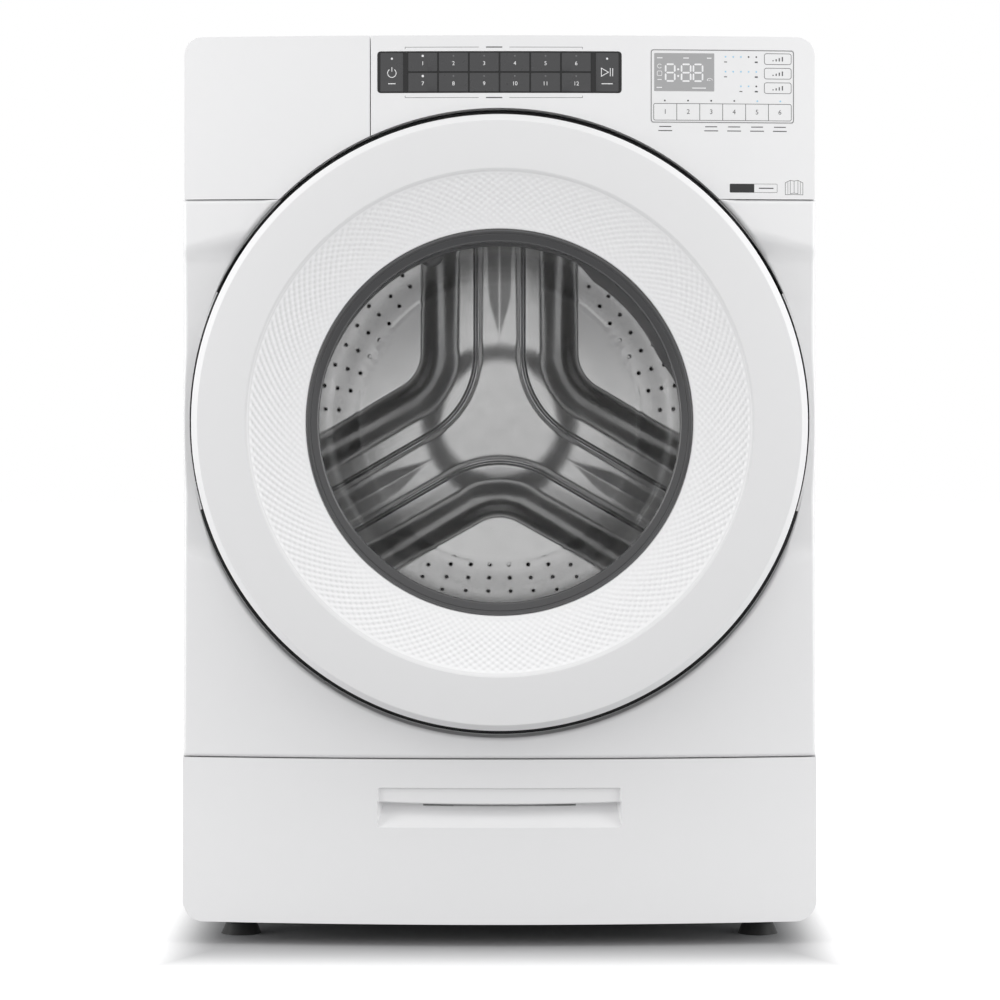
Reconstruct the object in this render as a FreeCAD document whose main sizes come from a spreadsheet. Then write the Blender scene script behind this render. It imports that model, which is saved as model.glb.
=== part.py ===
import FreeCAD, Part
import math
import os
from types import SimpleNamespace

import Sketcher
from FreeCAD import Placement, Rotation, Vector

# Front-loading washer-dryer, 27 inch class. World frame in millimetres: +X to the right of someone
# facing the machine, -Y to the front, +Z up, floor at Z = 0, origin under the middle of the machine.
# Pieces of the front and of the drum are drawn in a facing frame: x to the right, y up, and z
# forward, so a forward distance of 400 is Y = -400 in the world.

DRIVING = {
    # overall size
    "width": 686.0,
    "height": 981.0,
    "depth": 800.0,
    # cabinet
    "steel": 1.2,
    "underside": 25.0,
    "side_inset": 2.0,
    "rear_wall": 380.0,
    "shell_top": 955.5,
    # bowed front mouldings
    "bow_crest": 354.0,
    "bow_rise": 28.0,
    "front_back": 298.0,
    "moulding": 2.5,
    "low_seam": 203.3,
    "high_seam": 804.6,
    "seam_gap": 1.0,
    "console_inset": 2.0,
    "drawer_seam": -139.0,
    # round recess and door
    "waist_low": 160.0,
    "waist_high": 170.0,
    "door_height": 565.5,
    "recess_radius": 337.5,
    "recess_floor": 318.0,
    "door_radius": 328.5,
    "door_rim_back": 364.0,
    "dish_outer": 267.7,
    "dish_inner": 206.5,
    "dish_depth": 22.0,
    "glass_radius": 193.0,
    "bowl_floor": 264.0,
    "hinge_x": -308.0,
    "strike_x": 256.0,
    # handle in the access panel
    "handle_half": 131.7,
    "handle_low": 129.0,
    "handle_high": 172.0,
    "flap_axis": 35.0,
    "flap_forward": 334.0,
    "flap_arm": 194.0,
    # keypad
    "pad_half": 131.5,
    "pad_low": 919.0,
    "pad_high": 964.0,
    "key_pitch": 33.0,
    "end_key": 25.5,
    "key_slot": 1.0,
    # display overlay
    "display_left": 162.7,
    "display_right": 318.4,
    "display_low": 887.5,
    "display_high": 966.5,
    "lens_left": 166.5,
    "lens_right": 231.5,
    "lens_low": 921.5,
    "lens_high": 962.5,
    # detergent drawer
    "tray_left": -322.0,
    "tray_right": -154.0,
    "tray_low": 884.0,
    "tray_high": 946.0,
    "tray_length": 290.0,
    # drum and tub, all about one axis
    "drum_height": 558.0,
    "drum_radius": 262.0,
    "drum_mouth": 201.0,
    "drum_front": 240.0,
    "drum_rear": 185.0,
    "drum_sheet": 1.6,
    "star_depth": 30.0,
    "star_half": 29.0,
    "star_round": 110.0,
    "tub_inner": 274.0,
    "tub_wall": 4.0,
    "tub_front_face": 250.0,
    "tub_rear_face": 244.0,
    "shaft_radius": 15.0,
    # belt drive
    "belt_plane": 312.0,
    "big_pulley": 150.0,
    "small_pulley": 11.0,
    "motor_x": 120.0,
    "motor_height": 228.0,
    # suspension
    "spring_x": 232.0,
    "damper_x": 200.0,
    # drain pump
    "pump_x": 205.0,
    "pump_height": 95.0,
    # blower of the drying circuit
    "fan_x": 120.0,
    "fan_y": 150.0,
    "fan_radius": 52.0,
}


def text_of(value):
    """The expression behind a Size, or a plain number written out."""
    return getattr(value, "text", None) or f"({float(value):.9g})"


class Size(float):
    """A number that remembers the spreadsheet expression it comes from."""

    def __new__(cls, value, text):
        made = super().__new__(cls, value)
        made.text = text
        return made

    def __add__(self, other):
        return Size(float(self) + float(other), f"({self.text} + {text_of(other)})")

    def __radd__(self, other):
        return Size(float(other) + float(self), f"({text_of(other)} + {self.text})")

    def __sub__(self, other):
        return Size(float(self) - float(other), f"({self.text} - {text_of(other)})")

    def __rsub__(self, other):
        return Size(float(other) - float(self), f"({text_of(other)} - {self.text})")

    def __mul__(self, other):
        return Size(float(self) * float(other), f"({self.text} * {text_of(other)})")

    def __rmul__(self, other):
        return self * other

    def __truediv__(self, other):
        return Size(float(self) / float(other), f"({self.text} / {text_of(other)})")

    def __neg__(self):
        return Size(-float(self), f"(0 - {self.text})")


def root(value):
    return Size(math.sqrt(value), f"sqrt({text_of(value)})")


doc = FreeCAD.newDocument("WasherDryer")
sheet = doc.addObject("Spreadsheet::Sheet", "Sizes")
for row, (alias, number) in enumerate(DRIVING.items(), start=1):
    sheet.set(f"A{row}", alias)
    sheet.set(f"B{row}", str(number))
    sheet.setAlias(f"B{row}", alias)
doc.recompute()
d = SimpleNamespace(**{alias: Size(number, f"Sizes.{alias}") for alias, number in DRIVING.items()})

HALF = d.width / 2
SIDE = HALF - d.side_inset
FRONT = d.depth / 2
REAR = d.depth / 2
BOW_RADIUS = (HALF * HALF + d.bow_rise * d.bow_rise) / (2 * d.bow_rise)
BOW_CENTRE = d.bow_crest - BOW_RADIUS
FACING = Rotation(Vector(1, 0, 0), 90)

sub_parts = []


# ---------------------------------------------------------------- drawing helpers


def bind(item, path, value):
    """Tie one property of a document object to the spreadsheet."""
    item.setExpression(path, text_of(value))


def keep(item, label):
    """Name a finished sub-part and put it on the list to be written out."""
    item.Label = label
    sub_parts.append(item)
    return item


def new_body(label, facing=None):
    """A sub-part's body. With facing it is drawn in the facing frame, whose origin is that high."""
    body = doc.addObject("PartDesign::Body", label)
    if facing is not None:
        body.Placement = Placement(Vector(0, 0, facing), FACING)
        bind(body, "Placement.Base.z", facing)
    return keep(body, label)


def tool_body(name):
    """A body in the facing frame that only shapes a sub-part and isn't one itself."""
    body = doc.addObject("PartDesign::Body", name)
    body.Placement = Placement(Vector(0, 0, 0), FACING)
    return body


def sketch_on(body, role, lift=0, name="Sketch"):
    """A sketch on one of the body's origin planes, moved along that plane's normal by lift."""
    sketch = body.newObject("Sketcher::SketchObject", name)
    plane = next(item for item in body.Origin.OriginFeatures if item.Role == role)
    sketch.AttachmentSupport = [(plane, "")]
    sketch.MapMode = "FlatFace"
    bind(sketch, "AttachmentOffset.Base.z", lift)
    return sketch


def arc_edge(start, end, radius):
    """The shorter arc from start to end; a positive radius turns left, a negative one right."""
    chord = end - start
    along = chord.Length
    left = Vector(-chord.y, chord.x, 0) / along
    rise = math.sqrt(max(radius * radius - along * along / 4, 0))
    centre = (start + end) / 2 + left * math.copysign(rise, radius)
    first, last = (start, end) if radius > 0 else (end, start)
    begin = math.atan2(first.y - centre.y, first.x - centre.x)
    finish = math.atan2(last.y - centre.y, last.x - centre.x)
    if finish < begin:
        finish += 2 * math.pi
    circle = Part.Circle(centre, Vector(0, 0, 1), abs(radius))
    return Part.ArcOfCircle(circle, begin, finish)


def fix_distance(sketch, kind, edge, end, value):
    """Fix a corner's distance from the origin, and tie it to the spreadsheet."""
    index = sketch.addConstraint(Sketcher.Constraint(kind, -1, 1, edge, end, float(value)))
    if isinstance(value, Size):
        bind(sketch, f"Constraints[{index}]", value)


def outline(sketch, corners):
    """A closed outline. A corner is (x, y), or (x, y, radius) where an arc leaves it."""
    first = sketch.GeometryCount
    count = len(corners)
    ends = []
    for index, corner in enumerate(corners):
        following = corners[(index + 1) % count]
        start = Vector(corner[0], corner[1], 0)
        end = Vector(following[0], following[1], 0)
        if len(corner) == 3:
            sketch.addGeometry(arc_edge(start, end, corner[2]))
            ends.append((1, 2) if corner[2] > 0 else (2, 1))
        else:
            sketch.addGeometry(Part.LineSegment(start, end))
            ends.append((1, 2))
    joins = []
    for index in range(count):
        after = (index + 1) % count
        joins.append(
            Sketcher.Constraint("Coincident", first + index, ends[index][1], first + after, ends[after][0])
        )
    sketch.addConstraint(joins)
    for index, corner in enumerate(corners):
        fix_distance(sketch, "DistanceX", first + index, ends[index][0], corner[0])
        fix_distance(sketch, "DistanceY", first + index, ends[index][0], corner[1])
        if len(corner) == 3:
            size = abs(float(corner[2]))
            at = sketch.addConstraint(Sketcher.Constraint("Radius", first + index, size))
            if isinstance(corner[2], Size):
                bind(sketch, f"Constraints[{at}]", corner[2] if corner[2] > 0 else -corner[2])
    return sketch


def circle(sketch, x, y, radius):
    edge = sketch.addGeometry(Part.Circle(Vector(x, y, 0), Vector(0, 0, 1), float(radius)))
    fix_distance(sketch, "DistanceX", edge, 3, x)
    fix_distance(sketch, "DistanceY", edge, 3, y)
    at = sketch.addConstraint(Sketcher.Constraint("Radius", edge, float(radius)))
    if isinstance(radius, Size):
        bind(sketch, f"Constraints[{at}]", radius)
    return sketch


def rectangle(sketch, left, low, right, high):
    return outline(sketch, [(left, low), (right, low), (right, high), (left, high)])


def rounded(sketch, left, low, right, high, radius):
    """A rectangle with round corners."""
    return outline(
        sketch,
        [
            (left + radius, low),
            (right - radius, low, radius),
            (right, low + radius),
            (right, high - radius, radius),
            (right - radius, high),
            (left + radius, high, radius),
            (left, high - radius),
            (left, low + radius, radius),
        ],
    )


def pad(body, sketch, length, backwards=False, name="Pad"):
    feature = body.newObject("PartDesign::Pad", name)
    feature.Profile = sketch
    bind(feature, "Length", length)
    feature.Reversed = backwards
    return feature


def pocket(body, sketch, depth=None, backwards=False, name="Pocket"):
    """Cut the sketch away against its normal (or along it when backwards); with no depth, all through."""
    feature = body.newObject("PartDesign::Pocket", name)
    feature.Profile = sketch
    feature.Reversed = backwards
    if depth is None:
        feature.Type = 1
        feature.Midplane = True
    else:
        bind(feature, "Length", depth)
    return feature


def revolve(body, sketch, name="Revolution"):
    feature = body.newObject("PartDesign::Revolution", name)
    feature.Profile = sketch
    feature.ReferenceAxis = (sketch, ["V_Axis"])
    feature.Angle = 360
    return feature


def around(body, features, times, name="PolarPattern"):
    """Repeat features round the body's own z axis."""
    pattern = body.newObject("PartDesign::PolarPattern", name)
    pattern.Originals = features
    pattern.Axis = (next(item for item in body.Origin.OriginFeatures if item.Role == "Z_Axis"), [""])
    pattern.Angle = 360
    pattern.Occurrences = times
    body.Tip = pattern
    return pattern


def edges_where(shape, test):
    return [f"Edge{index}" for index, edge in enumerate(shape.Edges, start=1) if test(edge)]


def faces_where(shape, test):
    return [f"Face{index}" for index, face in enumerate(shape.Faces, start=1) if test(face)]


def fillet(body, base, radius, test, name="Fillet"):
    doc.recompute()
    feature = body.newObject("PartDesign::Fillet", name)
    feature.Base = (base, edges_where(base.Shape, test))
    bind(feature, "Radius", radius)
    return feature


def chamfer(body, base, size, test, name="Chamfer"):
    doc.recompute()
    feature = body.newObject("PartDesign::Chamfer", name)
    feature.Base = (base, edges_where(base.Shape, test))
    bind(feature, "Size", size)
    return feature


def hollow(body, base, wall, test, name="Shell"):
    """Hollow the body out inwards, open at the faces that test picks."""
    doc.recompute()
    feature = body.newObject("PartDesign::Thickness", name)
    feature.Base = (base, faces_where(base.Shape, test))
    bind(feature, "Value", wall)
    feature.Mode = 0
    feature.Join = 1
    feature.Reversed = True
    return feature


def box(name, low, high):
    """A Part box between two corners."""
    made = doc.addObject("Part::Box", name)
    for side, start, end in zip(("Length", "Width", "Height"), low, high):
        bind(made, side, end - start)
    for letter, start in zip("xyz", low):
        bind(made, f"Placement.Base.{letter}", start)
    return made


def rod(name, centre, radius, length, way=(0, 0, 1)):
    """A Part cylinder that starts at centre and runs along way."""
    made = doc.addObject("Part::Cylinder", name)
    bind(made, "Radius", radius)
    bind(made, "Height", length)
    made.Placement = Placement(Vector(*centre), Rotation(Vector(0, 0, 1), Vector(*way)))
    for letter, value in zip("xyz", centre):
        bind(made, f"Placement.Base.{letter}", value)
    return made


def cone(name, centre, low_radius, high_radius, length, way=(0, 0, 1)):
    """A Part cone that starts at centre and runs along way."""
    made = doc.addObject("Part::Cone", name)
    bind(made, "Radius1", low_radius)
    bind(made, "Radius2", high_radius)
    bind(made, "Height", length)
    made.Placement = Placement(Vector(*centre), Rotation(Vector(0, 0, 1), Vector(*way)))
    for letter, value in zip("xyz", centre):
        bind(made, f"Placement.Base.{letter}", value)
    return made


def hexagon(name, centre, radius, length, way=(0, 0, 1)):
    """A six-sided Part prism, for nuts and screw heads."""
    made = doc.addObject("Part::Prism", name)
    made.Polygon = 6
    bind(made, "Circumradius", radius)
    bind(made, "Height", length)
    made.Placement = Placement(Vector(*centre), Rotation(Vector(0, 0, 1), Vector(*way)))
    for letter, value in zip("xyz", centre):
        bind(made, f"Placement.Base.{letter}", value)
    return made


def joined(name, *items):
    made = doc.addObject("Part::MultiFuse", name)
    made.Shapes = list(items)
    return made


def without(name, base, *tools):
    """The base with the tools cut out of it."""
    made = doc.addObject("Part::Cut", name)
    made.Base = base
    made.Tool = tools[0] if len(tools) == 1 else joined(f"{name}_tools", *tools)
    return made


def group(name, items):
    """Separate solids kept together in one sub-part."""
    made = doc.addObject("Part::Compound", name)
    made.Links = items
    return made


# ---------------------------------------------------------------- bowed front mouldings


def bow_front(x, inset=0.0):
    """How far forward the bowed front stands at a distance x from the middle."""
    radius = BOW_RADIUS - inset
    return BOW_CENTRE + root(radius * radius - x * x)


def bow_block(body, left, right, low, high, back=None, inset=0.0):
    """A solid block from low to high whose front follows the cabinet's bow, inset behind it."""
    back = d.front_back if back is None else back
    plan = sketch_on(body, "XZ_Plane", -low, "Plan")
    outline(
        plan,
        [
            (left, back),
            (right, back),
            (right, bow_front(right, inset), BOW_RADIUS - inset),
            (left, bow_front(left, inset)),
        ],
    )
    return pad(body, plan, high - low, backwards=True, name="Block")


def upright_side(edge, x):
    """Whether an edge runs up the front corner of a moulding at this x."""
    reach = edge.BoundBox
    at_side = abs(reach.XMin - x) < 0.01 and abs(reach.XMax - x) < 0.01
    return at_side and reach.ZMin > 318 and reach.ZLength < 0.01


def panel_block(name, inset):
    """The front panel's solid form, inset all over: bowed block, round recess, set-back sides."""
    body = doc.addObject("PartDesign::Body", name)
    body.Placement = Placement(Vector(0, 0, 0), FACING)
    back = d.front_back - inset
    bow_block(
        body, -HALF + inset, HALF - inset, d.low_seam + inset, d.high_seam - inset, back=back, inset=inset
    )
    floor = d.recess_floor - inset
    recess = sketch_on(body, "XY_Plane", floor, "Recess")
    circle(recess, 0, d.door_height, d.recess_radius + inset)
    pocket(body, recess, FRONT - floor, backwards=True, name="RoundRecess")
    band = sketch_on(body, "YZ_Plane", 0, "SideBand")
    low, high = d.door_height - d.waist_low - inset, d.door_height + d.waist_high + inset
    reach = FRONT - floor
    outline(band, [(low, floor), (high, floor), (high + reach, FRONT), (low - reach, FRONT)])
    set_back = pocket(body, band, name="SetBackSides")
    side = HALF - inset
    fillet(body, set_back, 9 - inset, lambda e: upright_side(e, float(side)) or upright_side(e, -float(side)))
    return body


def front_panel():
    """The bowed front with its round recess; its dish plate runs on up behind the console's arch."""
    t = 1.6
    shell = without("PanelShell", panel_block("PanelForm", 0.0), panel_block("PanelCavity", t))
    plate = rod("DishDisc", (0, -d.recess_floor, d.door_height), d.recess_radius - 1, t, (0, 1, 0))
    above = box("AboveSeam", (-HALF, -d.recess_floor - 1, d.high_seam - 12), (HALF, -d.front_back, d.height))
    top = doc.addObject("Part::Common", "DishTop")
    top.Base = plate
    top.Tool = above
    collar = rod("GasketCollar", (0, -d.recess_floor, d.drum_height), 224 + t, 14, (0, 1, 0))
    mouth = rod("GasketHole", (0, -FRONT, d.drum_height), 224, FRONT - d.front_back + 2, (0, 1, 0))
    low, high = d.door_height - 14, d.door_height + 14
    ahead, behind = -d.recess_floor - 1, -d.recess_floor + 3
    slot = box("StrikeSlot", (d.strike_x - 10, ahead, low), (d.strike_x + 10, behind, high))
    return keep(without("Panel", joined("PanelSolid", shell, top, collar), mouth, slot), "front_panel")


def console_block(name, left, right, back, inset):
    """A console moulding's solid form: bowed block, door arch and round top corner, inset all over."""
    body = tool_body(name)
    low = d.high_seam + d.seam_gap
    top = d.height - inset
    bow_block(body, left + inset, right - inset, low + inset, top, back=back, inset=inset)
    arch = sketch_on(body, "XY_Plane", 200, "Arch")
    circle(arch, 0, d.door_height, d.recess_radius + inset)
    cut = pocket(body, arch, FRONT, backwards=True, name="ArchCut")
    outer = right - inset if left > -HALF / 2 else left + inset
    at_corner = fillet(
        body,
        cut,
        20 - inset,
        lambda e: abs(e.BoundBox.Center.x - outer) < 0.01 and e.BoundBox.YMin > top - 0.01,
        "TopCorner",
    )
    return body, at_corner


def arch_edge(edge):
    """The curved edge where the arch meets the bowed front."""
    reach = edge.BoundBox
    if reach.ZMin < d.front_back + 18 or reach.YMax > 905:
        return False
    gap = math.hypot(edge.Vertexes[0].X, edge.Vertexes[0].Y - d.door_height) - d.recess_radius
    return abs(gap) < 0.01 and reach.XLength > 20


def control_fascia():
    left = d.drawer_seam + d.seam_gap / 2
    right = HALF - d.console_inset
    body, corner = console_block("FasciaForm", left, right, d.front_back, 0.0)
    fillet(body, corner, 6, arch_edge, "ArchRound")
    window = sketch_on(body, "XY_Plane", FRONT, "KeypadOpening")
    rectangle(window, -d.pad_half, d.pad_low, d.pad_half, d.pad_high)
    pocket(body, window, 90, name="KeypadHole")
    display = sketch_on(body, "XY_Plane", FRONT, "DisplayOpening")
    rectangle(display, d.display_left, d.display_low, d.display_right, d.display_high)
    pocket(body, display, 90, name="DisplayHole")
    cavity, corner = console_block("FasciaCavity", left, right, d.front_back - 1, d.moulding)
    return keep(without("Fascia", body, cavity), "control_fascia")


def drawer_front():
    left = -(HALF - d.console_inset)
    right = d.drawer_seam - d.seam_gap / 2
    back = d.front_back + 14
    body, corner = console_block("DrawerForm", left, right, back, 0.0)
    fillet(body, corner, 6, arch_edge, "ArchRound")
    cavity, corner = console_block("DrawerCavity", left, right, back - 1, d.moulding)
    return keep(without("DrawerShell", body, cavity), "drawer_front")


def access_block(name, inset):
    """The lower panel's solid form: a bowed block with round bottom corners, inset all over."""
    body = tool_body(name)
    top = d.low_seam - d.seam_gap - inset
    back = d.front_back + (7 if inset else 8)
    block = bow_block(body, -HALF + inset, HALF - inset, d.underside + inset, top, back=back, inset=inset)
    bottom = fillet(
        body,
        block,
        28 - inset,
        lambda e: e.BoundBox.YMax < d.underside + inset + 0.01 and e.BoundBox.XLength < 0.01,
        "BottomCorners",
    )
    if not inset:
        fillet(body, bottom, 4, side_front_edge, "FrontRound")
    return body


def side_front_edge(edge):
    """The upright front corner edges and the round ones below them."""
    reach = edge.BoundBox
    if reach.ZMin < 309:
        return False
    return reach.XMin > 314 or reach.XMax < -314 or reach.YMax < d.underside + 0.01


def across(name, corners, half):
    """A straight bar along x, from -half to half, with the given (height, forward) section."""
    body = tool_body(name)
    section = sketch_on(body, "YZ_Plane", 0, "Section")
    outline(section, corners)
    bar = pad(body, section, half * 2, name="Bar")
    bar.Midplane = True
    return body


def access_panel():
    """The tilting lower panel: a shell with a finger scoop, hinge bosses and slots for the hinge arms."""
    edge = 4
    well = box(
        "HandleWell",
        (-d.handle_half - edge, -FRONT, d.handle_low - edge),
        (d.handle_half + edge, -322, d.handle_high + edge),
    )
    space = without("PanelSpace", access_block("AccessCavity", d.moulding), well)
    shell = without("AccessShell", access_block("AccessForm", 0.0), space)
    recess = tool_body("HandleRecess")
    lip = sketch_on(recess, "XY_Plane", 348.5, "HandleFace")
    rounded(lip, -d.handle_half, d.handle_low, d.handle_half, d.handle_high, 4)
    pad(recess, lip, 12, name="Recess")
    lip_low = d.handle_high - 16
    curl = [(lip_low + 3, 325.5), (lip_low + 11, 329), (lip_low + 11, 337), (lip_low, 340)]
    floor = [(d.handle_low + 1.5, 349), (lip_low - 6, 325.5)]
    scoop = across("Scoop", [*floor, *curl, (lip_low - 1, 349)], d.handle_half - 3)
    top = d.low_seam - d.seam_gap
    # the top wall falls away behind, so it clears the front panel as the panel tilts
    relief = across("SwingRelief", [(top - 3.5, 304), (top, 328), (top + 2, 328), (top + 2, 304)], HALF + 5)
    bosses = []
    notches = []
    axis = -d.flap_forward
    low = d.underside
    for side in (-1, 1):
        near, far = sorted((side * (d.flap_arm + 9.5), side * (d.flap_arm + 19)))
        boss = box("HingeBoss", (near, axis - 7.5, low + 1), (far, axis + 7, d.flap_axis + 9))
        bore = rod("HingeBore", (near - 1, axis, d.flap_axis), 3.06, far - near + 2, (1, 0, 0))
        bosses.append(without("BoredBoss", boss, bore))
        middle = side * d.flap_arm
        notches.append(box("ArmSlot", (middle - 9, axis - 4, low - 1), (middle + 9, axis + 60, low + 3)))
    solid = joined("AccessSolid", shell, *bosses)
    return keep(without("Access", solid, recess, scoop, relief, *notches), "access_panel")


# ---------------------------------------------------------------- console furniture


def key_bezel():
    """The dark keypad surround: a bowed plate with a pocket for each key."""
    body = new_body("key_bezel", facing=0)
    gap = 0.3
    plan = sketch_on(body, "XZ_Plane", -(d.pad_low + gap), "Plan")
    half = d.pad_half - gap
    outline(
        plan,
        [
            (-half, 340),
            (half, 340),
            (half, bow_front(half), BOW_RADIUS),
            (-half, bow_front(half)),
        ],
    )
    pad(body, plan, d.pad_high - d.pad_low - 2 * gap, backwards=True, name="Plate")
    wells = sketch_on(body, "XY_Plane", FRONT, "KeyWells")
    for label, x, y, wide, tall in key_places():
        rectangle(wells, x - wide / 2, y - tall / 2, x + wide / 2, y + tall / 2)
    pocket(body, wells, FRONT - 345, name="Wells")
    return body


def key_places():
    """Each key well: name, centre x and height, width and height."""
    middle = (d.pad_low + d.pad_high) / 2
    tall = (d.pad_high - d.pad_low) / 2 - 1.8
    end_x = d.key_pitch * 3 + 4 + d.end_key / 2
    places = [("key_power", -end_x, middle, d.end_key, tall * 2 + d.key_slot)]
    for row in range(2):
        height = middle + (0.5 - row) * (tall + d.key_slot)
        for column in range(6):
            x = d.key_pitch * (column - 2.5)
            places.append((f"key_{row * 6 + column + 1}", x, height, d.key_pitch - d.key_slot, tall))
    places.append(("key_start", end_x, middle, d.end_key, tall * 2 + d.key_slot))
    return places


def keys():
    """Fourteen push keys, each a small moulded cap with a softened face."""
    play = 0.35
    for label, x, y, wide, tall in key_places():
        body = new_body(label, facing=0)
        back = 346.6
        face = sketch_on(body, "XY_Plane", back, "Face")
        rectangle(face, x - wide / 2 + play, y - tall / 2 + play, x + wide / 2 - play, y + tall / 2 - play)
        front = bow_front(abs(x) + wide / 2) + 0.9
        cap = pad(body, face, front - back, name="Cap")
        chamfer(body, cap, 0.4, lambda e, z=float(front): e.BoundBox.ZMin > z - 0.01)


def display_panel():
    """The printed touch panel, with the raised lens of the display at its top left."""
    body = new_body("display_panel", facing=0)
    gap = 0.2
    left, right = d.display_left + gap, d.display_right - gap
    low, high = d.display_low + gap, d.display_high - gap
    plan = sketch_on(body, "XZ_Plane", -low, "Plan")
    outline(
        plan,
        [
            (left, bow_front(left) - 2.4),
            (right, bow_front(right) - 2.4),
            (right, bow_front(right) - 0.2),
            (left, bow_front(left) - 0.2),
        ],
    )
    pad(body, plan, high - low, backwards=True, name="Plate")
    lens = sketch_on(body, "XZ_Plane", -d.lens_low, "Lens")
    lens_right = d.lens_right
    outline(
        lens,
        [
            (d.lens_left, bow_front(d.lens_left) - 1.5),
            (lens_right, bow_front(lens_right) - 1.5),
            (lens_right, bow_front(lens_right) + 0.2),
            (d.lens_left, bow_front(d.lens_left) + 0.2),
        ],
    )
    pad(body, lens, d.lens_high - d.lens_low, backwards=True, name="LensPad")
    return body


# ---------------------------------------------------------------- cabinet


def cabinet_shell():
    """The folded steel wrapper: two sides, a back with an access opening, and turned front edges."""
    body = new_body("cabinet_shell")
    t = d.steel
    front = -(d.front_back - 1)
    plan = sketch_on(body, "XY_Plane", 32, "Plan")
    outline(
        plan,
        [
            (-SIDE + 12, front),
            (-SIDE + 12, front + t),
            (-SIDE + t, front + t),
            (-SIDE + t, d.rear_wall - t),
            (SIDE - t, d.rear_wall - t),
            (SIDE - t, front + t),
            (SIDE - 12, front + t),
            (SIDE - 12, front),
            (SIDE, front),
            (SIDE, d.rear_wall - 4, 4),
            (SIDE - 4, d.rear_wall),
            (-SIDE + 4, d.rear_wall, 4),
            (-SIDE, d.rear_wall - 4),
            (-SIDE, front),
        ],
    )
    pad(body, plan, d.shell_top - 32, name="Wrapper")
    hangers = sketch_on(body, "XY_Plane", 946, "SpringHangers")
    for side in (-1, 1):
        near, far = side * (d.spring_x - 12), side * (SIDE - 0.5)
        rectangle(hangers, min(near, far), 42, max(near, far), 78)
    pad(body, hangers, 2, name="Hangers")
    hole = sketch_on(body, "XZ_Plane", -400, "RearOpening")
    rounded(hole, -225, 165, 225, 785, 12)
    circle(hole, -230, 895, 16)
    circle(hole, -170, 895, 16)
    circle(hole, 100, 895, 13)
    circle(hole, 240, 895, 9)
    pocket(body, hole, 60, backwards=True, name="RearOpenings")
    return body


def top_panel():
    body = new_body("top_panel")
    low = d.shell_top + 0.5
    top = d.height - 3
    rear = d.rear_wall
    front = -(d.front_back - 1)
    plan = sketch_on(body, "XY_Plane", low, "Plan")
    rounded(plan, -SIDE, front, SIDE, rear, 4)
    block = pad(body, plan, top - low, name="Lid")
    soft = fillet(body, block, 2.4, lambda e: e.BoundBox.ZMin > top - 0.01)
    hollow(body, soft, d.steel, lambda f: f.BoundBox.ZMax < low + 0.01)
    return body


def rear_cover():
    """The removable back cover: a pressed tray with rows of louvre slots."""
    body = new_body("rear_cover")
    face = d.rear_wall + 0.1
    plate = sketch_on(body, "XZ_Plane", -face, "Plate")
    rounded(plate, -248, 142, 248, 808, 10)
    pad(body, plate, d.steel, backwards=True, name="Flange")
    raised = sketch_on(body, "XZ_Plane", -face, "Raised")
    rounded(raised, -216, 174, 216, 776, 30)
    bulge = pad(body, raised, 8, backwards=True, name="Bulge")
    inside = sketch_on(body, "XZ_Plane", -face, "Inside")
    rounded(inside, -214, 176, 214, 774, 28)
    pocket(body, inside, 8 - d.steel, name="Hollow")
    slot = sketch_on(body, "XZ_Plane", -face, "Louvre")
    rectangle(slot, 90, 640, 180, 646)
    cut = pocket(body, slot, 20, name="LouvreSlot")
    rows = body.newObject("PartDesign::LinearPattern", "Louvres")
    rows.Originals = [cut]
    rows.Direction = (slot, ["V_Axis"])
    rows.Length = 90
    rows.Occurrences = 6
    body.Tip = rows
    return body


def cabinet_screws():
    heads = []
    for x in (-236, 236):
        for z in (160, 368, 576, 790):
            heads.append(hexagon("ScrewHead", (x, d.rear_wall + d.steel + 0.15, z), 4.6, 4, (0, 1, 0)))
    for x in (-80, 80):
        for z in (152, 798):
            heads.append(hexagon("ScrewHead", (x, d.rear_wall + d.steel + 0.15, z), 4.6, 4, (0, 1, 0)))
    return keep(group("screws", heads), "cabinet_screws")


def base_pan():
    """The floor tray with turned-up edges, pressed ribs and four foot holes."""
    body = new_body("base_pan")
    t = 1.5
    side = SIDE - d.steel - 0.3
    front, rear = -(d.front_back - 4), d.rear_wall - d.steel - 0.3
    plan = sketch_on(body, "XY_Plane", 32, "Plan")
    rectangle(plan, -side, front, side, rear)
    block = pad(body, plan, 26, name="Tray")
    hollow(body, block, t, lambda f: f.BoundBox.ZMin > 57.9)
    rib = sketch_on(body, "XY_Plane", 32, "Ribs")
    for x in (-120, 0, 120):
        rectangle(rib, x - 12, front + 60, x + 12, rear - 60)
    pad(body, rib, 6, name="PressedRibs")
    under = sketch_on(body, "XY_Plane", 32, "UnderRibs")
    for x in (-120, 0, 120):
        rectangle(under, x - 10.5, front + 61.5, x + 10.5, rear - 61.5)
    pocket(body, under, 4.5, backwards=True, name="RibHollows")
    holes = sketch_on(body, "XY_Plane", 32, "FootHoles")
    for x, y in foot_places():
        circle(holes, x, y, 6)
    pocket(body, holes, 5, backwards=True, name="FootHole")
    arms = sketch_on(body, "XY_Plane", d.flap_axis - 3, "HingeArms")
    arm = d.flap_arm
    rectangle(arms, arm - 6, -d.flap_forward - 4, arm + 6, front + 2)
    rectangle(arms, -arm - 6, -d.flap_forward - 4, -arm + 6, front + 2)
    pad(body, arms, 6, name="Arms")
    for start in (arm + 5, -arm - 18):
        pins = sketch_on(body, "YZ_Plane", start, "HingePin")
        circle(pins, -d.flap_forward, d.flap_axis, 3)
        pad(body, pins, 13, name="Pin")
    return body


def foot_places():
    return [(x, y) for x in (-285, 285) for y in (-245, 325)]


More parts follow.
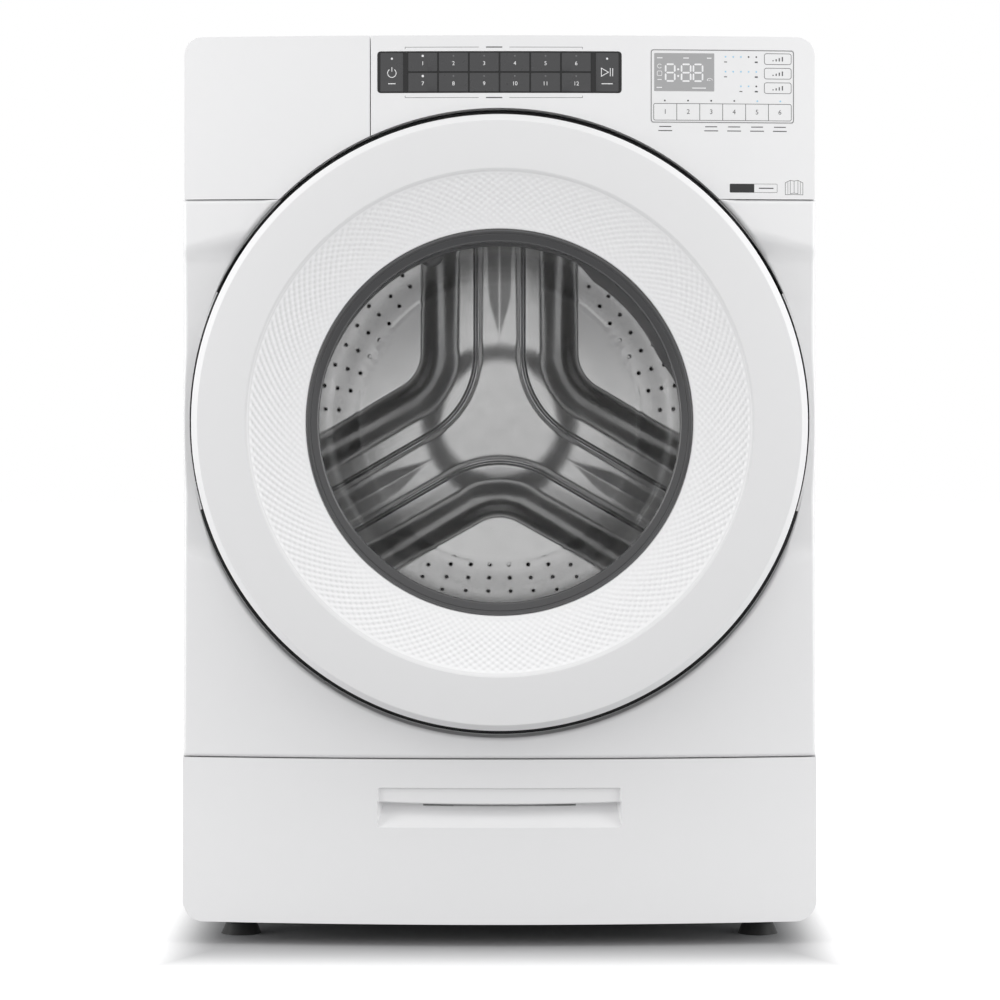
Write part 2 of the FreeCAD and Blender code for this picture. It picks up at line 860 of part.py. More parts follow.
def levelling_feet():
    feet = []
    for x, y in foot_places():
        sole = cone("FootSole", (x, y, 0), 22, 17, 12)
        stem = rod("FootStem", (x, y, 11), 5, 38)
        nut = hexagon("LockNut", (x, y, d.underside), 10, 6.8)
        feet.append(joined("Foot", sole, stem, nut))
    return keep(group("feet", feet), "levelling_feet")


def inlet_valves():
    """Hot and cold water valves: threaded spigots through the back, bodies and coils inside."""
    valves = []
    for x in (-230, -170):
        spigot = rod("Spigot", (x, REAR, 895), 13.2, 34, (0, -1, 0))
        bore = rod("SpigotBore", (x, REAR + 1, 895), 8, 25, (0, -1, 0))
        flange = rod("ValveFlange", (x, d.rear_wall - d.steel - 0.2, 895), 19, 4, (0, -1, 0))
        block = box("ValveBody", (x - 17, 338, 878), (x + 17, 372, 912))
        coil = rod("Coil", (x, 352, 912), 13, 22)
        valves.append(without("Valve", joined("ValveSolid", spigot, flange, block, coil), bore))
    return keep(group("valves", valves), "inlet_valves")


def drain_outlet():
    spigot = rod("OutletSpigot", (100, REAR, 895), 11, 40, (0, -1, 0))
    flange = rod("OutletFlange", (100, d.rear_wall - d.steel - 0.2, 895), 18, 4, (0, -1, 0))
    bore = rod("OutletBore", (100, REAR + 1, 895), 8.5, 50, (0, -1, 0))
    return keep(without("Outlet", joined("OutletSolid", spigot, flange), bore), "drain_outlet")


def cord_gland():
    barrel = rod("GlandBarrel", (240, d.rear_wall - 12, 895), 8.5, 13, (0, 1, 0))
    flange = rod("GlandFlange", (240, d.rear_wall + 0.2, 895), 12, 8, (0, 1, 0))
    bore = rod("GlandBore", (240, d.rear_wall - 13, 895), 4, 30, (0, 1, 0))
    return keep(without("Gland", joined("GlandSolid", barrel, flange), bore), "cord_gland")


def dispenser_housing():
    """The fixed box that the detergent drawer slides in."""
    body = new_body("dispenser_housing")
    gap = 3
    left, right = d.tray_left - gap - 2, d.tray_right + gap + 2
    low, high = d.tray_low - gap - 2, d.tray_high + gap + 2
    front = -(d.front_back + 4)
    face = sketch_on(body, "XZ_Plane", -front, "Face")
    rectangle(face, left, low, right, high)
    block = pad(body, face, d.tray_length + 30, backwards=True, name="Housing")
    hollow(body, block, 2, lambda f: f.BoundBox.YMax < front + 0.01)
    return body


def dispenser_tray():
    """The drawer's tray: three compartments side by side, open at the top."""
    body = new_body("dispenser_tray")
    front = -(d.front_back + 12)
    plan = sketch_on(body, "XY_Plane", d.tray_low, "Plan")
    rounded(plan, d.tray_left, front, d.tray_right, front + d.tray_length, 6)
    pad(body, plan, d.tray_high - d.tray_low, name="Tray")
    wells = sketch_on(body, "XY_Plane", d.tray_high, "Compartments")
    t = 2.5
    first = d.tray_left + 62
    second = d.tray_right - 48
    rear = front + d.tray_length - t
    rounded(wells, d.tray_left + t, front + 40, first - t / 2, rear, 5)
    rounded(wells, first + t / 2, front + 40, second - t / 2, rear, 5)
    rounded(wells, second + t / 2, front + 40, d.tray_right - t, rear, 5)
    pocket(body, wells, d.tray_high - d.tray_low - t, name="Wells")
    nose = sketch_on(body, "XY_Plane", d.tray_high, "NoseHollow")
    rectangle(nose, d.tray_left + t, front + t, d.tray_right - t, front + 40 - t)
    pocket(body, nose, d.tray_high - d.tray_low - t, name="Nose")
    return body


def door_lock():
    """The lock behind the front panel, with the mouth that takes the door's strike."""
    body = new_body("door_lock", facing=0)
    face = sketch_on(body, "XY_Plane", 288, "Case")
    rounded(face, d.strike_x - 13, d.door_height - 38, d.strike_x + 17, d.door_height + 38, 4)
    pad(body, face, 28, name="CaseBlock")
    mouth = sketch_on(body, "XY_Plane", 316, "Mouth")
    rectangle(mouth, d.strike_x - 9, d.door_height - 13, d.strike_x + 9, d.door_height + 13)
    pocket(body, mouth, 24, name="StrikeMouth")
    return body


def hinge_bracket():
    """The fixed half of the hinge: a base plate, two gooseneck arms and the pin."""
    z = d.door_height
    x = d.hinge_x
    y = -d.door_rim_back
    floor = -(d.recess_floor + 0.1)
    base = box("HingeBase", (x + 24, floor - 4, z - 72), (x + 62, floor, z + 72))
    pieces = [base, rod("HingePin", (x, y, z - 62), 4, 124)]
    for side in (-1, 1):
        low = z + 32 if side > 0 else z - 60
        leg = box("HingeLeg", (x + 38, y - 5, low), (x + 50, floor, low + 28))
        arm = box("HingeArm", (x, y - 5, low), (x + 50, y + 5, low + 28))
        knuckle = rod("HingeKnuckle", (x, y, low), 7, 28)
        pieces += [leg, arm, knuckle]
    return keep(joined("Bracket", *pieces), "hinge_bracket")


def hinge_leaf():
    """The door's half of the hinge: a knuckle on the pin and a plate screwed inside the rim."""
    z = d.door_height
    x = d.hinge_x
    y = -d.door_rim_back
    knuckle = rod("LeafKnuckle", (x, y, z - 30), 7, 60)
    neck = box("LeafNeck", (x - 5, y - 14, z - 30), (x + 5, y, z + 30))
    plate = box("LeafPlate", (x - 8, y - 18, z - 66), (x + 34, y - 13, z + 66))
    bore = rod("LeafBore", (x, y, z - 40), 4.06, 80)
    return keep(without("Leaf", joined("LeafSolid", knuckle, neck, plate), bore), "hinge_leaf")


# ---------------------------------------------------------------- door


def ring(body, corners, name="Profile"):
    """Turn a section, given as (radius, forward) corners, into a ring."""
    profile = sketch_on(body, "XZ_Plane", 0, name)
    outline(profile, corners)
    return revolve(body, profile)


def door_ring():
    """The outer door moulding: flat face, bevelled rim and the dish that falls to the glass."""
    body = new_body("door_ring", facing=d.door_height)
    t = d.moulding
    rim = d.door_radius
    dish = FRONT - d.dish_depth
    ring(
        body,
        [
            (d.dish_inner, dish),
            (d.dish_inner, dish - t),
            (d.dish_outer - 20, FRONT - 8.5 - t),
            (d.dish_outer + 1, FRONT - 2 - t),
            (rim - 8.5, FRONT - t),
            (rim - t, FRONT - 9.5),
            (rim - t, d.door_rim_back),
            (rim, d.door_rim_back),
            (rim, FRONT - 8),
            (rim - 6.7, FRONT),
            (rim - 12, FRONT),
            (d.dish_outer, FRONT - 2),
            (d.dish_outer - 20, FRONT - 8.5),
        ],
    )
    return body


def glass_trim():
    """The dark ring that clamps the glass into the door."""
    body = new_body("glass_trim", facing=d.door_height)
    face = FRONT - d.dish_depth
    outer = d.dish_inner - 0.3
    ring(
        body,
        [
            (outer, face - 8),
            (outer, face + 0.6),
            (outer - 2, face + 1.4),
            (d.glass_radius + 1.5, face - 0.6),
            (d.glass_radius, face - 3),
            (d.glass_radius, face - 8),
        ],
    )
    return body


def door_glass():
    """The pressed glass bowl that pushes the laundry back from the gasket."""
    body = new_body("door_glass", facing=d.door_height)
    t = 5
    face = FRONT - d.dish_depth - 8.2
    floor = d.bowl_floor
    ring(
        body,
        [
            (0, floor),
            (154, floor),
            (166, floor + 12),
            (183, face - t),
            (203, face - t),
            (203, face),
            (178, face),
            (161, floor + 14),
            (152, floor + t),
            (0, floor + t),
        ],
    )
    return body


def door_liner():
    """The inner door moulding, stepped back towards the gasket, notched for the hinge, with the hook
    that the lock holds."""
    body = doc.addObject("PartDesign::Body", "LinerForm")
    body.Placement = Placement(Vector(0, 0, d.door_height), FACING)
    bind(body, "Placement.Base.z", d.door_height)
    t = 2.5
    back = d.door_rim_back - 3
    step = 330
    ring(
        body,
        [
            (206, step),
            (290, step),
            (297, back),
            (325.2, back),
            (325.2, back + t),
            (295, back + t),
            (288.5, step + t),
            (209, step + t),
            (206, 363.5),
            (203.5, 363.5),
        ],
    )
    notch = sketch_on(body, "XY_Plane", FRONT, "HingeNotch")
    rectangle(notch, -340, -78, -242, 78)
    pocket(body, notch, 120, name="Notch")
    low, high = d.door_height - 9, d.door_height + 9
    x = d.strike_x
    shank = box("StrikeShank", (x - 4, -step - 1, low), (x + 1, -297, high))
    foot = box("StrikeFoot", (x - 13, -step - 2, low - 8), (x + 10, -step + 4, high + 8))
    eye = box("StrikeEye", (x - 5, -306, low + 4), (x + 2, -299, high - 4))
    return keep(without("Liner", joined("LinerSolid", body, shank, foot), eye), "door_liner")


# ---------------------------------------------------------------- tub


def door_gasket():
    """The rubber bellows between the front panel and the tub mouth."""
    body = new_body("door_gasket", facing=d.drum_height)
    ring(
        body,
        [
            (196, 318),
            (220, 318),
            (220, 299),
            (232, 295),
            (232, 291),
            (209, 286),
            (209, 256),
            (213, 256),
            (213, 282),
            (236, 288),
            (236, 298),
            (223.5, 302),
            (223.5, 318.3),
            (232, 318.3),
            (232, 321.8),
            (198, 321.8),
        ],
    )
    return body


def tub_front():
    """The front half of the wash tub, with its mouth, seam flange and hoop ribs."""
    body = new_body("tub_front", facing=d.drum_height)
    inner, outer = d.tub_inner, d.tub_inner + d.tub_wall
    face = d.tub_front_face
    ring(
        body,
        [
            (204, face - 4),
            (inner, face - 4),
            (inner, 0.05),
            (outer + 7, 0.05),
            (outer + 7, 6),
            (outer, 6),
            (outer, face),
            (208.6, face),
            (208.6, face + 18),
            (204, face + 18),
        ],
    )
    rib = sketch_on(body, "YZ_Plane", 0, "Rib")
    outline(rib, [(outer - 1, 5), (outer + 6, 5), (outer - 1, face - 20)])
    gusset = pad(body, rib, 4, name="Gusset")
    gusset.Midplane = True
    around(body, [gusset], 12)
    spout = sketch_on(body, "XZ_Plane", 295.5, "SumpSpout")
    circle(spout, d.pump_x - 60, 140, 18)
    circle(spout, d.pump_x - 60, 140, 15)
    pad(body, spout, 58, backwards=True, name="Spout")
    return body


def tub_rear():
    """The rear half: seam flange, ribbed end wall and the bearing hub."""
    body = new_body("tub_rear", facing=d.drum_height)
    inner, outer = d.tub_inner, d.tub_inner + d.tub_wall
    face = -d.tub_rear_face
    hub = 46
    ring(
        body,
        [
            (inner, -0.05),
            (inner, face + 5),
            (hub, face + 5),
            (31.5, face + 5),
            (31.5, face - 46),
            (hub, face - 46),
            (hub + 8, face),
            (outer, face),
            (outer, -6),
            (outer + 7, -6),
            (outer + 7, -0.05),
        ],
    )
    web = sketch_on(body, "YZ_Plane", 0, "Web")
    outline(web, [(40, face + 1), (40, face - 42), (outer - 6, face - 6), (outer - 6, face + 1)])
    rib = pad(body, web, 4, name="RadialRib")
    rib.Midplane = True
    around(body, [rib], 12)
    lugs = sketch_on(body, "XY_Plane", -50, "SpringLugs")
    for side in (-1, 1):
        middle = side * d.spring_x
        rectangle(lugs, middle - 9, 140, middle + 9, 193)
    pad(body, lugs, 20, backwards=True, name="Lugs")
    return body


def counterweight():
    """The cast ring that balances the tub, bolted round its mouth."""
    body = new_body("front_counterweight", facing=d.drum_height)
    face = d.tub_front_face + 0.2
    outer = [(279, face), (284, face + 6), (284, face + 34), (279, face + 37)]
    ring(body, [(243, face), *outer, (243, face + 30)])
    return body


def drum_bearings():
    """Two sealed ball bearings in the tub's hub."""
    races = []
    for start in (246, 272):
        body = rod("Race", (0, start, d.drum_height), 31.2, 16, (0, 1, 0))
        bore = rod("RaceBore", (0, start - 1, d.drum_height), d.shaft_radius + 0.05, 20, (0, 1, 0))
        races.append(without("Bearing", body, bore))
    return keep(group("bearings", races), "drum_bearings")


def drive_motor():
    """The drive motor: finned can, end bells and shaft, hung under the tub by a lug."""
    x, z = d.motor_x, d.motor_height
    start = 150
    can = rod("MotorCan", (x, start, z), 52, 105, (0, 1, 0))
    front_bell = cone("MotorBell", (x, start, z), 52, 38, 14, (0, -1, 0))
    rear_bell = cone("MotorRearBell", (x, start + 105, z), 52, 30, 16, (0, 1, 0))
    lug = box("MotorLug", (x - 50, start + 30, z + 30), (x + 30, start + 80, z + 100))
    bore = rod("MotorBore", (x, start + 60, z), 7.05, 70, (0, 1, 0))
    tub = rod("TubRound", (0, start, d.drum_height), d.tub_inner + d.tub_wall + 0.4, 150, (0, 1, 0))
    solid = joined("MotorSolid", can, front_bell, rear_bell, lug)
    return keep(without("Motor", solid, bore, tub), "drive_motor")


def motor_pulley():
    """The rotor's shaft with its small grooved pulley."""
    x, z = d.motor_x, d.motor_height
    shaft = rod("RotorShaft", (x, 215, z), 7, 100, (0, 1, 0))
    wheel = rod("SmallPulley", (x, d.belt_plane - 9, z), d.small_pulley - 0.3, 18, (0, 1, 0))
    rim_a = rod("PulleyRimA", (x, d.belt_plane - 11, z), d.small_pulley + 3, 2, (0, 1, 0))
    rim_b = rod("PulleyRimB", (x, d.belt_plane + 9, z), d.small_pulley + 3, 2, (0, 1, 0))
    return keep(joined("Rotor", shaft, wheel, rim_a, rim_b), "motor_pulley")


def drive_belt():
    """The ribbed belt: two arcs and the two straight runs between the pulleys."""
    body = new_body("drive_belt", facing=d.drum_height)
    dx, dy = float(d.motor_x), float(d.motor_height - d.drum_height)
    span = math.hypot(dx, dy)
    lean = math.atan2(dy, dx)

    def loop(big, small):
        """The belt line round a big and a small wheel, as outline corners."""
        turn = math.acos((big - small) / span)
        ways = [lean + turn, lean - turn]
        far = [(big * math.cos(a), big * math.sin(a)) for a in ways]
        near = [(dx + small * math.cos(a), dy + small * math.sin(a)) for a in ways]
        back = (-big * math.cos(lean), -big * math.sin(lean))
        return [near[1] + (small,), near[0], far[0] + (big,), back + (big,), far[1]]

    plan = sketch_on(body, "XY_Plane", -d.belt_plane - 7, "Loop")
    outline(plan, loop(float(d.big_pulley) + 3.6, float(d.small_pulley) + 3.4))
    outline(plan, loop(float(d.big_pulley) + 0.3, float(d.small_pulley) + 0.1))
    pad(body, plan, 14, name="Band")
    return body


def damper_pieces():
    """Two friction dampers: a cylinder on the base and a rod from the tub in each."""
    cylinders, rods = [], []
    for x in (-d.damper_x, d.damper_x):
        y = -60
        tube = rod("DamperTube", (x, y, 46), 17, 124)
        bore = rod("DamperBore", (x, y, 60), 8.4, 120)
        foot = box("DamperFoot", (x - 14, y - 20, 33.6), (x + 14, y + 20, 47))
        cylinders.append(without("Cylinder", joined("CylinderSolid", tube, foot), bore))
        stem = rod("DamperStem", (x, y, 80), 8, 235)
        eye = box("DamperEye", (x - 14, y - 12, 300), (x + 14, y + 12, 350))
        rods.append(joined("Rod", stem, eye))
    keep(group("cylinders", cylinders), "damper_cylinders")
    keep(group("rods", rods), "damper_rods")


def suspension_springs():
    """Two tension springs that hang the tub, each the outer form of its close-wound coil."""
    springs = []
    for x in (-d.spring_x, d.spring_x):
        coil = rod("Coil", (x, 60, 790), 12, 130)
        core = rod("Core", (x, 60, 789), 9, 132)
        hook = rod("HookTop", (x, 60, 915), 2.5, 30.6)
        tail = rod("HookLow", (x, 60, 751.4), 2.5, 42)
        cap_a = rod("CapTop", (x, 60, 915), 12, 5)
        cap_b = rod("CapLow", (x, 60, 790), 12, 5)
        springs.append(joined("Spring", without("CoilTube", coil, core), hook, tail, cap_a, cap_b))
    return keep(group("springs", springs), "suspension_springs")


def sump_hose():
    """The corrugated hose from the tub's sump to the drain pump."""
    body = new_body("sump_hose")
    profile = sketch_on(body, "XZ_Plane", 0, "Profile")
    corners = [(19, 150)]
    for fold in range(3):
        z = 162 + fold * 30
        corners += [(19, z), (24, z + 9), (24, z + 15), (19, z + 24)]
    corners += [(19, 262), (16.5, 262), (16.5, 150)]
    outline(profile, corners)
    revolve(body, profile)
    body.Placement = Placement(Vector(d.pump_x - 60, -140, 0), Rotation())
    bind(body, "Placement.Base.x", d.pump_x - 60)
    return body


def pump_housing():
    """The drain pump: filter barrel open to the front, volute, and a port up to the hose."""
    x, z = d.pump_x, d.pump_height
    barrel = rod("Barrel", (x, -286, z), 36, 110, (0, 1, 0))
    volute = rod("Volute", (x, -177, z), 44, 34, (0, 1, 0))
    motor = rod("PumpMotor", (x, -144, z), 30, 66, (0, 1, 0))
    port = rod("Port", (x - 60, -140, z - 10), 16, 64)
    elbow = box("Elbow", (x - 75, -175, z - 15), (x - 30, -124, z + 15))
    foot = box("PumpFoot", (x - 40, -250, 33.6), (x + 40, -120, z - 26))
    filter_bore = rod("FilterBore", (x, -290, z), 31, 92, (0, 1, 0))
    chamber = rod("Chamber", (x, -199, z), 31, 44, (0, 1, 0))
    solid = joined("PumpSolid", barrel, volute, motor, port, elbow, foot)
    return keep(without("Pump", solid, filter_bore, chamber), "pump_housing")


def lint_filter():
    """The filter that unscrews from the front: a knob, a plug and a slotted strainer."""
    body = new_body("lint_filter", facing=d.pump_height)
    ring(
        body,
        [
            (0, 288.5),
            (0, 296),
            (30, 296),
            (38, 292),
            (38, 288.5),
            (30.6, 288.5),
            (30.6, 268),
            (27, 262),
            (27, 206),
            (24.5, 206),
            (24.5, 258),
            (0, 258),
        ],
    )
    slots = sketch_on(body, "YZ_Plane", 0, "Slots")
    for start in (212, 228, 244):
        rectangle(slots, -40, start, 40, start + 9)
    cut = pocket(body, slots, name="StrainerSlots")
    cut.Type = 0
    cut.Midplane = True
    cut.Length = 24
    grip = sketch_on(body, "XY_Plane", 295, "Grip")
    rectangle(grip, -26, -4, 26, 4)
    pad(body, grip, 8, name="GripBar")
    body.Placement = Placement(Vector(d.pump_x, 0, d.pump_height), FACING)
    bind(body, "Placement.Base.x", d.pump_x)
    return body


def pump_impeller():
    """The drain pump's wheel: a hub and four straight vanes."""
    body = new_body("pump_impeller", facing=d.pump_height)
    hub = sketch_on(body, "XY_Plane", 158, "Hub")
    circle(hub, 0, 0, 8)
    pad(body, hub, 34, name="HubPad")
    vane = sketch_on(body, "XY_Plane", 160, "Vane")
    rectangle(vane, 5, -1.5, 26, 1.5)
    blade = pad(body, vane, 24, name="Blade")
    around(body, [blade], 4)
    body.Placement = Placement(Vector(d.pump_x, 0, d.pump_height), FACING)
    bind(body, "Placement.Base.x", d.pump_x)
    return body


def drying_duct():
    """The drying circuit on the tub's shoulder: a fan scroll and the duct that runs forward."""
    x, y = d.fan_x, d.fan_y
    low = 856
    scroll = rod("Scroll", (x, y, low), d.fan_radius + 12, 66)
    scroll_in = rod("ScrollHollow", (x, y, low + 3), d.fan_radius + 9, 60)
    duct = box("Duct", (x - 2, -210, low + 4), (x + d.fan_radius + 12, y, low + 56))
    duct_in = box("DuctHollow", (x + 1, -207, low + 7), (x + d.fan_radius + 9, y, low + 53))
    saddle = box("DuctSaddle", (x - 40, -60, 800), (x + 10, -20, low + 10))
    stand = box("ScrollStand", (x - 40, y - 20, 800), (x + 20, y + 20, low + 1))
    outside = joined("DuctSolid", scroll, duct, saddle, stand)
    tub_clear = rod("TubClear", (0, -320, d.drum_height), d.tub_inner + d.tub_wall + 7.4, 640, (0, 1, 0))
    return keep(without("DuctHollowed", outside, scroll_in, duct_in, tub_clear), "drying_duct")


def blower_fan():
    """The drying fan: a disc with upright blades round its edge."""
    body = new_body("blower_fan")
    disc = sketch_on(body, "XY_Plane", 866, "Disc")
    circle(disc, 0, 0, d.fan_radius)
    pad(body, disc, 3, name="Plate")
    hub = sketch_on(body, "XY_Plane", 866, "Hub")
    circle(hub, 0, 0, 12)
    pad(body, hub, 22, name="HubPad")
    blade = sketch_on(body, "XY_Plane", 868, "Blade")
    rectangle(blade, 34, -1.5, d.fan_radius, 1.5)
    vane = pad(body, blade, 36, name="Vane")
    around(body, [vane], 12)
    body.Placement = Placement(Vector(d.fan_x, d.fan_y, 0), Rotation())
    bind(body, "Placement.Base.x", d.fan_x)
    bind(body, "Placement.Base.y", d.fan_y)
    return body


# ---------------------------------------------------------------- drum


def drum_shell():
    """The stainless drum wall with its rolled mouth."""
    body = new_body("drum_shell", facing=d.drum_height)
    r, t = d.drum_radius, 1.6
    rear = -(d.drum_rear + d.star_depth - 2)
    ring(
        body,
        [
            (d.drum_mouth, d.drum_front - 6),
            (d.drum_mouth + 4, d.drum_front - 1),
            (r - 20, d.drum_front - 6),
            (r, d.drum_front - 26),
            (r, rear),
            (r - t, rear),
            (r - t, d.drum_front - 26),
            (r - 21, d.drum_front - 8),
            (d.drum_mouth + 5, d.drum_front - 3),
            (d.drum_mouth + t, d.drum_front - 8),
        ],
    )
    return body


def valley_outline(sketch, side, reach):
    """One hollow between two arms of the star, side further out from the arms' centre lines.

    The hollow opens along +x. Its two straight flanks run beside the arms and meet in a large round.
    """
    half = d.star_half + side
    big = d.star_round - side
    third = math.radians(60)
    apex = half / math.sin(third)
    along = big / math.tan(third)
    centre = apex + big / math.sin(third)
    touch_x = apex + along * math.cos(third)
    touch_y = along * math.sin(third)
    # where a flank meets the outer circle
    far = root(reach * reach - half * half)
    far_x = far * math.cos(third) + half * math.sin(third)
    far_y = far * math.sin(third) - half * math.cos(third)
    return outline(
        sketch,
        [
            (touch_x, -touch_y),
            (far_x, -far_y, reach),
            (far_x, far_y),
            (touch_x, touch_y, big),
        ],
    )


def star_form(name, inset):
    """A round blank with the three drafted hollows of the star, inset under its face."""
    body = doc.addObject("PartDesign::Body", name)
    body.Placement = Placement(Vector(0, 0, d.drum_height), FACING * Rotation(Vector(0, 0, 1), 30))
    bind(body, "Placement.Base.z", d.drum_height)
    face = -d.drum_rear - inset
    deep = d.star_depth - inset
    plate = sketch_on(body, "XY_Plane", face, "Blank")
    circle(plate, 0, 0, d.drum_radius - 2 - inset)
    pad(body, plate, deep + (1 if inset else 0), backwards=True, name="BlankPad")
    valley = sketch_on(body, "XY_Plane", face, "Valley")
    valley_outline(valley, -1.2 * inset, d.drum_radius - 14 + inset)
    sunk_depth = d.star_depth - inset + 1 if inset else d.star_depth - d.drum_sheet
    sunk = pocket(body, valley, sunk_depth, name="ValleyPocket")
    sunk.TaperAngle = -42
    around(body, [sunk], 3, "Valleys")
    return body


def drum_back():
    """The pressed drum back: a raised three-armed star between three sunken, drafted hollows."""
    return keep(without("Star", star_form("StarFace", 0.0), star_form("StarBack", d.drum_sheet)), "drum_back")


def drum_lifters():
    """Three hollow-backed lifters that tumble the laundry."""
    lifters = []
    for index in range(3):
        body = doc.addObject("PartDesign::Body", f"Lifter{index}")
        body.Placement = Placement(Vector(0, 0, d.drum_height), FACING)
        base = d.drum_radius - 1.8
        section = sketch_on(body, "XY_Plane", -150, "Section")
        tip = base - 38
        foot = root(base * base - 36 * 36)
        outline(section, [(-36, foot), (-12, tip), (12, tip), (36, foot, base)])
        pad(body, section, 320, name="Lifter")
        spin = Rotation(Vector(0, 0, 1), 120 * index)
        body.Placement = Placement(Vector(0, 0, d.drum_height), FACING * spin)
        lifters.append(body)
    return keep(group("lifters", lifters), "drum_lifters")


def drum_spider():
    """The cast three-armed spider and its shaft, which carry the drum in the bearings."""
    body = new_body("drum_spider", facing=d.drum_height)
    back = -(d.drum_rear + 2)
    hub = sketch_on(body, "XY_Plane", back, "Hub")
    circle(hub, 0, 0, 32)
    pad(body, hub, 46, backwards=True, name="HubPad")
    shaft = sketch_on(body, "XY_Plane", back, "Shaft")
    circle(shaft, 0, 0, d.shaft_radius)
    pad(body, shaft, 138, backwards=True, name="ShaftPad")
    arm = sketch_on(body, "YZ_Plane", 0, "Arm")
    tip = d.drum_radius - 4
    outline(arm, [(20, back), (tip, back), (tip, back - 12), (60, back - 40), (20, back - 44)])
    leg = pad(body, arm, 22, name="Leg")
    leg.Midplane = True
    around(body, [leg], 3)
    return body


def drum_pulley():
    """The large belt wheel: rim, six spokes and hub."""
    body = new_body("drum_pulley", facing=d.drum_height)
    middle = -d.belt_plane
    r = d.big_pulley
    rim = [(r + 4, middle - 11), (r, middle - 9), (r, middle + 9), (r + 4, middle + 11)]
    ring(body, [(r - 8, middle - 11), *rim, (r - 8, middle + 11)])
    spoke = sketch_on(body, "XY_Plane", middle - 5, "Spoke")
    rectangle(spoke, 14, -9, r - 6, 9)
    arm = pad(body, spoke, 10, name="SpokePad")
    around(body, [arm], 6, "Spokes")
    hub = sketch_on(body, "XY_Plane", middle - 11, "Hub")
    circle(hub, 0, 0, 30)
    pad(body, hub, 24, name="HubPad")
    bore = sketch_on(body, "XY_Plane", middle + 20, "Bore")
    circle(bore, 0, 0, d.shaft_radius + 0.05)
    pocket(body, bore, 60, name="ShaftBore")
    return body


# ---------------------------------------------------------------- the whole machine

front_panel()
control_fascia()
drawer_front()
access_panel()
key_bezel()
keys()
display_panel()
cabinet_shell()
top_panel()
rear_cover()
cabinet_screws()
base_pan()
levelling_feet()
inlet_valves()
drain_outlet()
cord_gland()
dispenser_housing()
dispenser_tray()
door_lock()
hinge_bracket()
hinge_leaf()
door_ring()
glass_trim()
door_glass()
door_liner()
door_gasket()
tub_front()
tub_rear()
counterweight()
drum_bearings()
drive_motor()
motor_pulley()
drive_belt()
damper_pieces()
suspension_springs()
sump_hose()
pump_housing()
lint_filter()
pump_impeller()
drying_duct()
blower_fan()
drum_shell()
drum_back()
drum_lifters()
drum_spider()
drum_pulley()
doc.recompute()

failed = [item.Name for item in doc.Objects if {"Invalid", "Error"} & set(item.State)]
for part in sub_parts:
    if part.Shape.isNull() or not part.Shape.isValid() or not part.Shape.Solids:
        failed.append(part.Label)
if failed:
    raise RuntimeError(f"These pieces did not build: {failed}")

os.makedirs("parts", exist_ok=True)
for part in sub_parts:
    part.Shape.exportStep(f"parts/{part.Label}.step")
print(len(sub_parts), "sub-parts written")
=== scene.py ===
import math

import bmesh
import bpy
from bpy.props import FloatProperty, FloatVectorProperty, PointerProperty
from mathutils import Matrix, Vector
from mathutils.geometry import tessellate_polygon


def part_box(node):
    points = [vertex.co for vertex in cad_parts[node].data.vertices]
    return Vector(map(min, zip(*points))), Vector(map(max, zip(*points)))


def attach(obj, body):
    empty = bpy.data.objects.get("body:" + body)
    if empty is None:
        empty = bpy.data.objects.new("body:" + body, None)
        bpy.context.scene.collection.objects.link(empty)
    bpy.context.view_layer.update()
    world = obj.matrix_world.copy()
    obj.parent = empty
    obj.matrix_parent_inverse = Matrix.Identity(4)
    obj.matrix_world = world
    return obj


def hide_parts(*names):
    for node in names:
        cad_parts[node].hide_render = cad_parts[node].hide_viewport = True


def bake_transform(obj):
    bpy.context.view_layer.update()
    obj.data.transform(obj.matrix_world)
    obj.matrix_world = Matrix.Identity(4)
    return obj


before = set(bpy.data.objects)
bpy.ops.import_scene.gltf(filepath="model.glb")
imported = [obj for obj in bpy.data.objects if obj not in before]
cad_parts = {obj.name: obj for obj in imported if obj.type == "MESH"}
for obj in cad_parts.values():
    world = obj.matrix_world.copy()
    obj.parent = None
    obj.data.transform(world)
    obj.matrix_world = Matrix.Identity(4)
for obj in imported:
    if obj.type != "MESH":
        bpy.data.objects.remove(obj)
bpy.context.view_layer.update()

bl_info = {
    "name": "Front loading washer dryer",
    "version": (1, 0, 0),
    "blender": (4, 5, 0),
    "location": "View3D > Sidebar > Washer",
    "description": "Builds the finished looks of a front loading washer dryer round its CAD frame",
    "category": "Object",
}

MM = 0.001
PLASTIC_IOR = 1.5


def span(node):
    """A node's lowest and highest corner at rest, in millimetres."""
    low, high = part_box(node)
    return low / MM, high / MM


# ---------------------------------------------------------------- places, read from the frame

PANEL_LOW, PANEL_HIGH = span("front_panel")
FASCIA_LOW, FASCIA_HIGH = span("control_fascia")
DRAWER_LOW, DRAWER_HIGH = span("drawer_front")
ACCESS_LOW, ACCESS_HIGH = span("access_panel")
RING_LOW, RING_HIGH = span("door_ring")
TRIM_LOW, TRIM_HIGH = span("glass_trim")
GLASS_LOW, GLASS_HIGH = span("door_glass")
BEZEL_LOW, BEZEL_HIGH = span("key_bezel")
SCREEN_LOW, SCREEN_HIGH = span("display_panel")
GASKET_LOW, GASKET_HIGH = span("door_gasket")
BACK_LOW, BACK_HIGH = span("drum_back")
SHELL_LOW, SHELL_HIGH = span("drum_shell")

# half the width, how far forward the front and the door stand, and the heights of the door's and drum's axes
HALF = PANEL_HIGH.x
CREST = -PANEL_LOW.y
CREST_DOOR = -RING_LOW.y
DOOR_Z = (RING_LOW.z + RING_HIGH.z) / 2
DRUM_Z = (SHELL_LOW.z + SHELL_HIGH.z) / 2

# the front is one bow: its middle stands RISE further forward than its sides
RISE = 28.0
BOW = (HALF * HALF + RISE * RISE) / (2 * RISE)

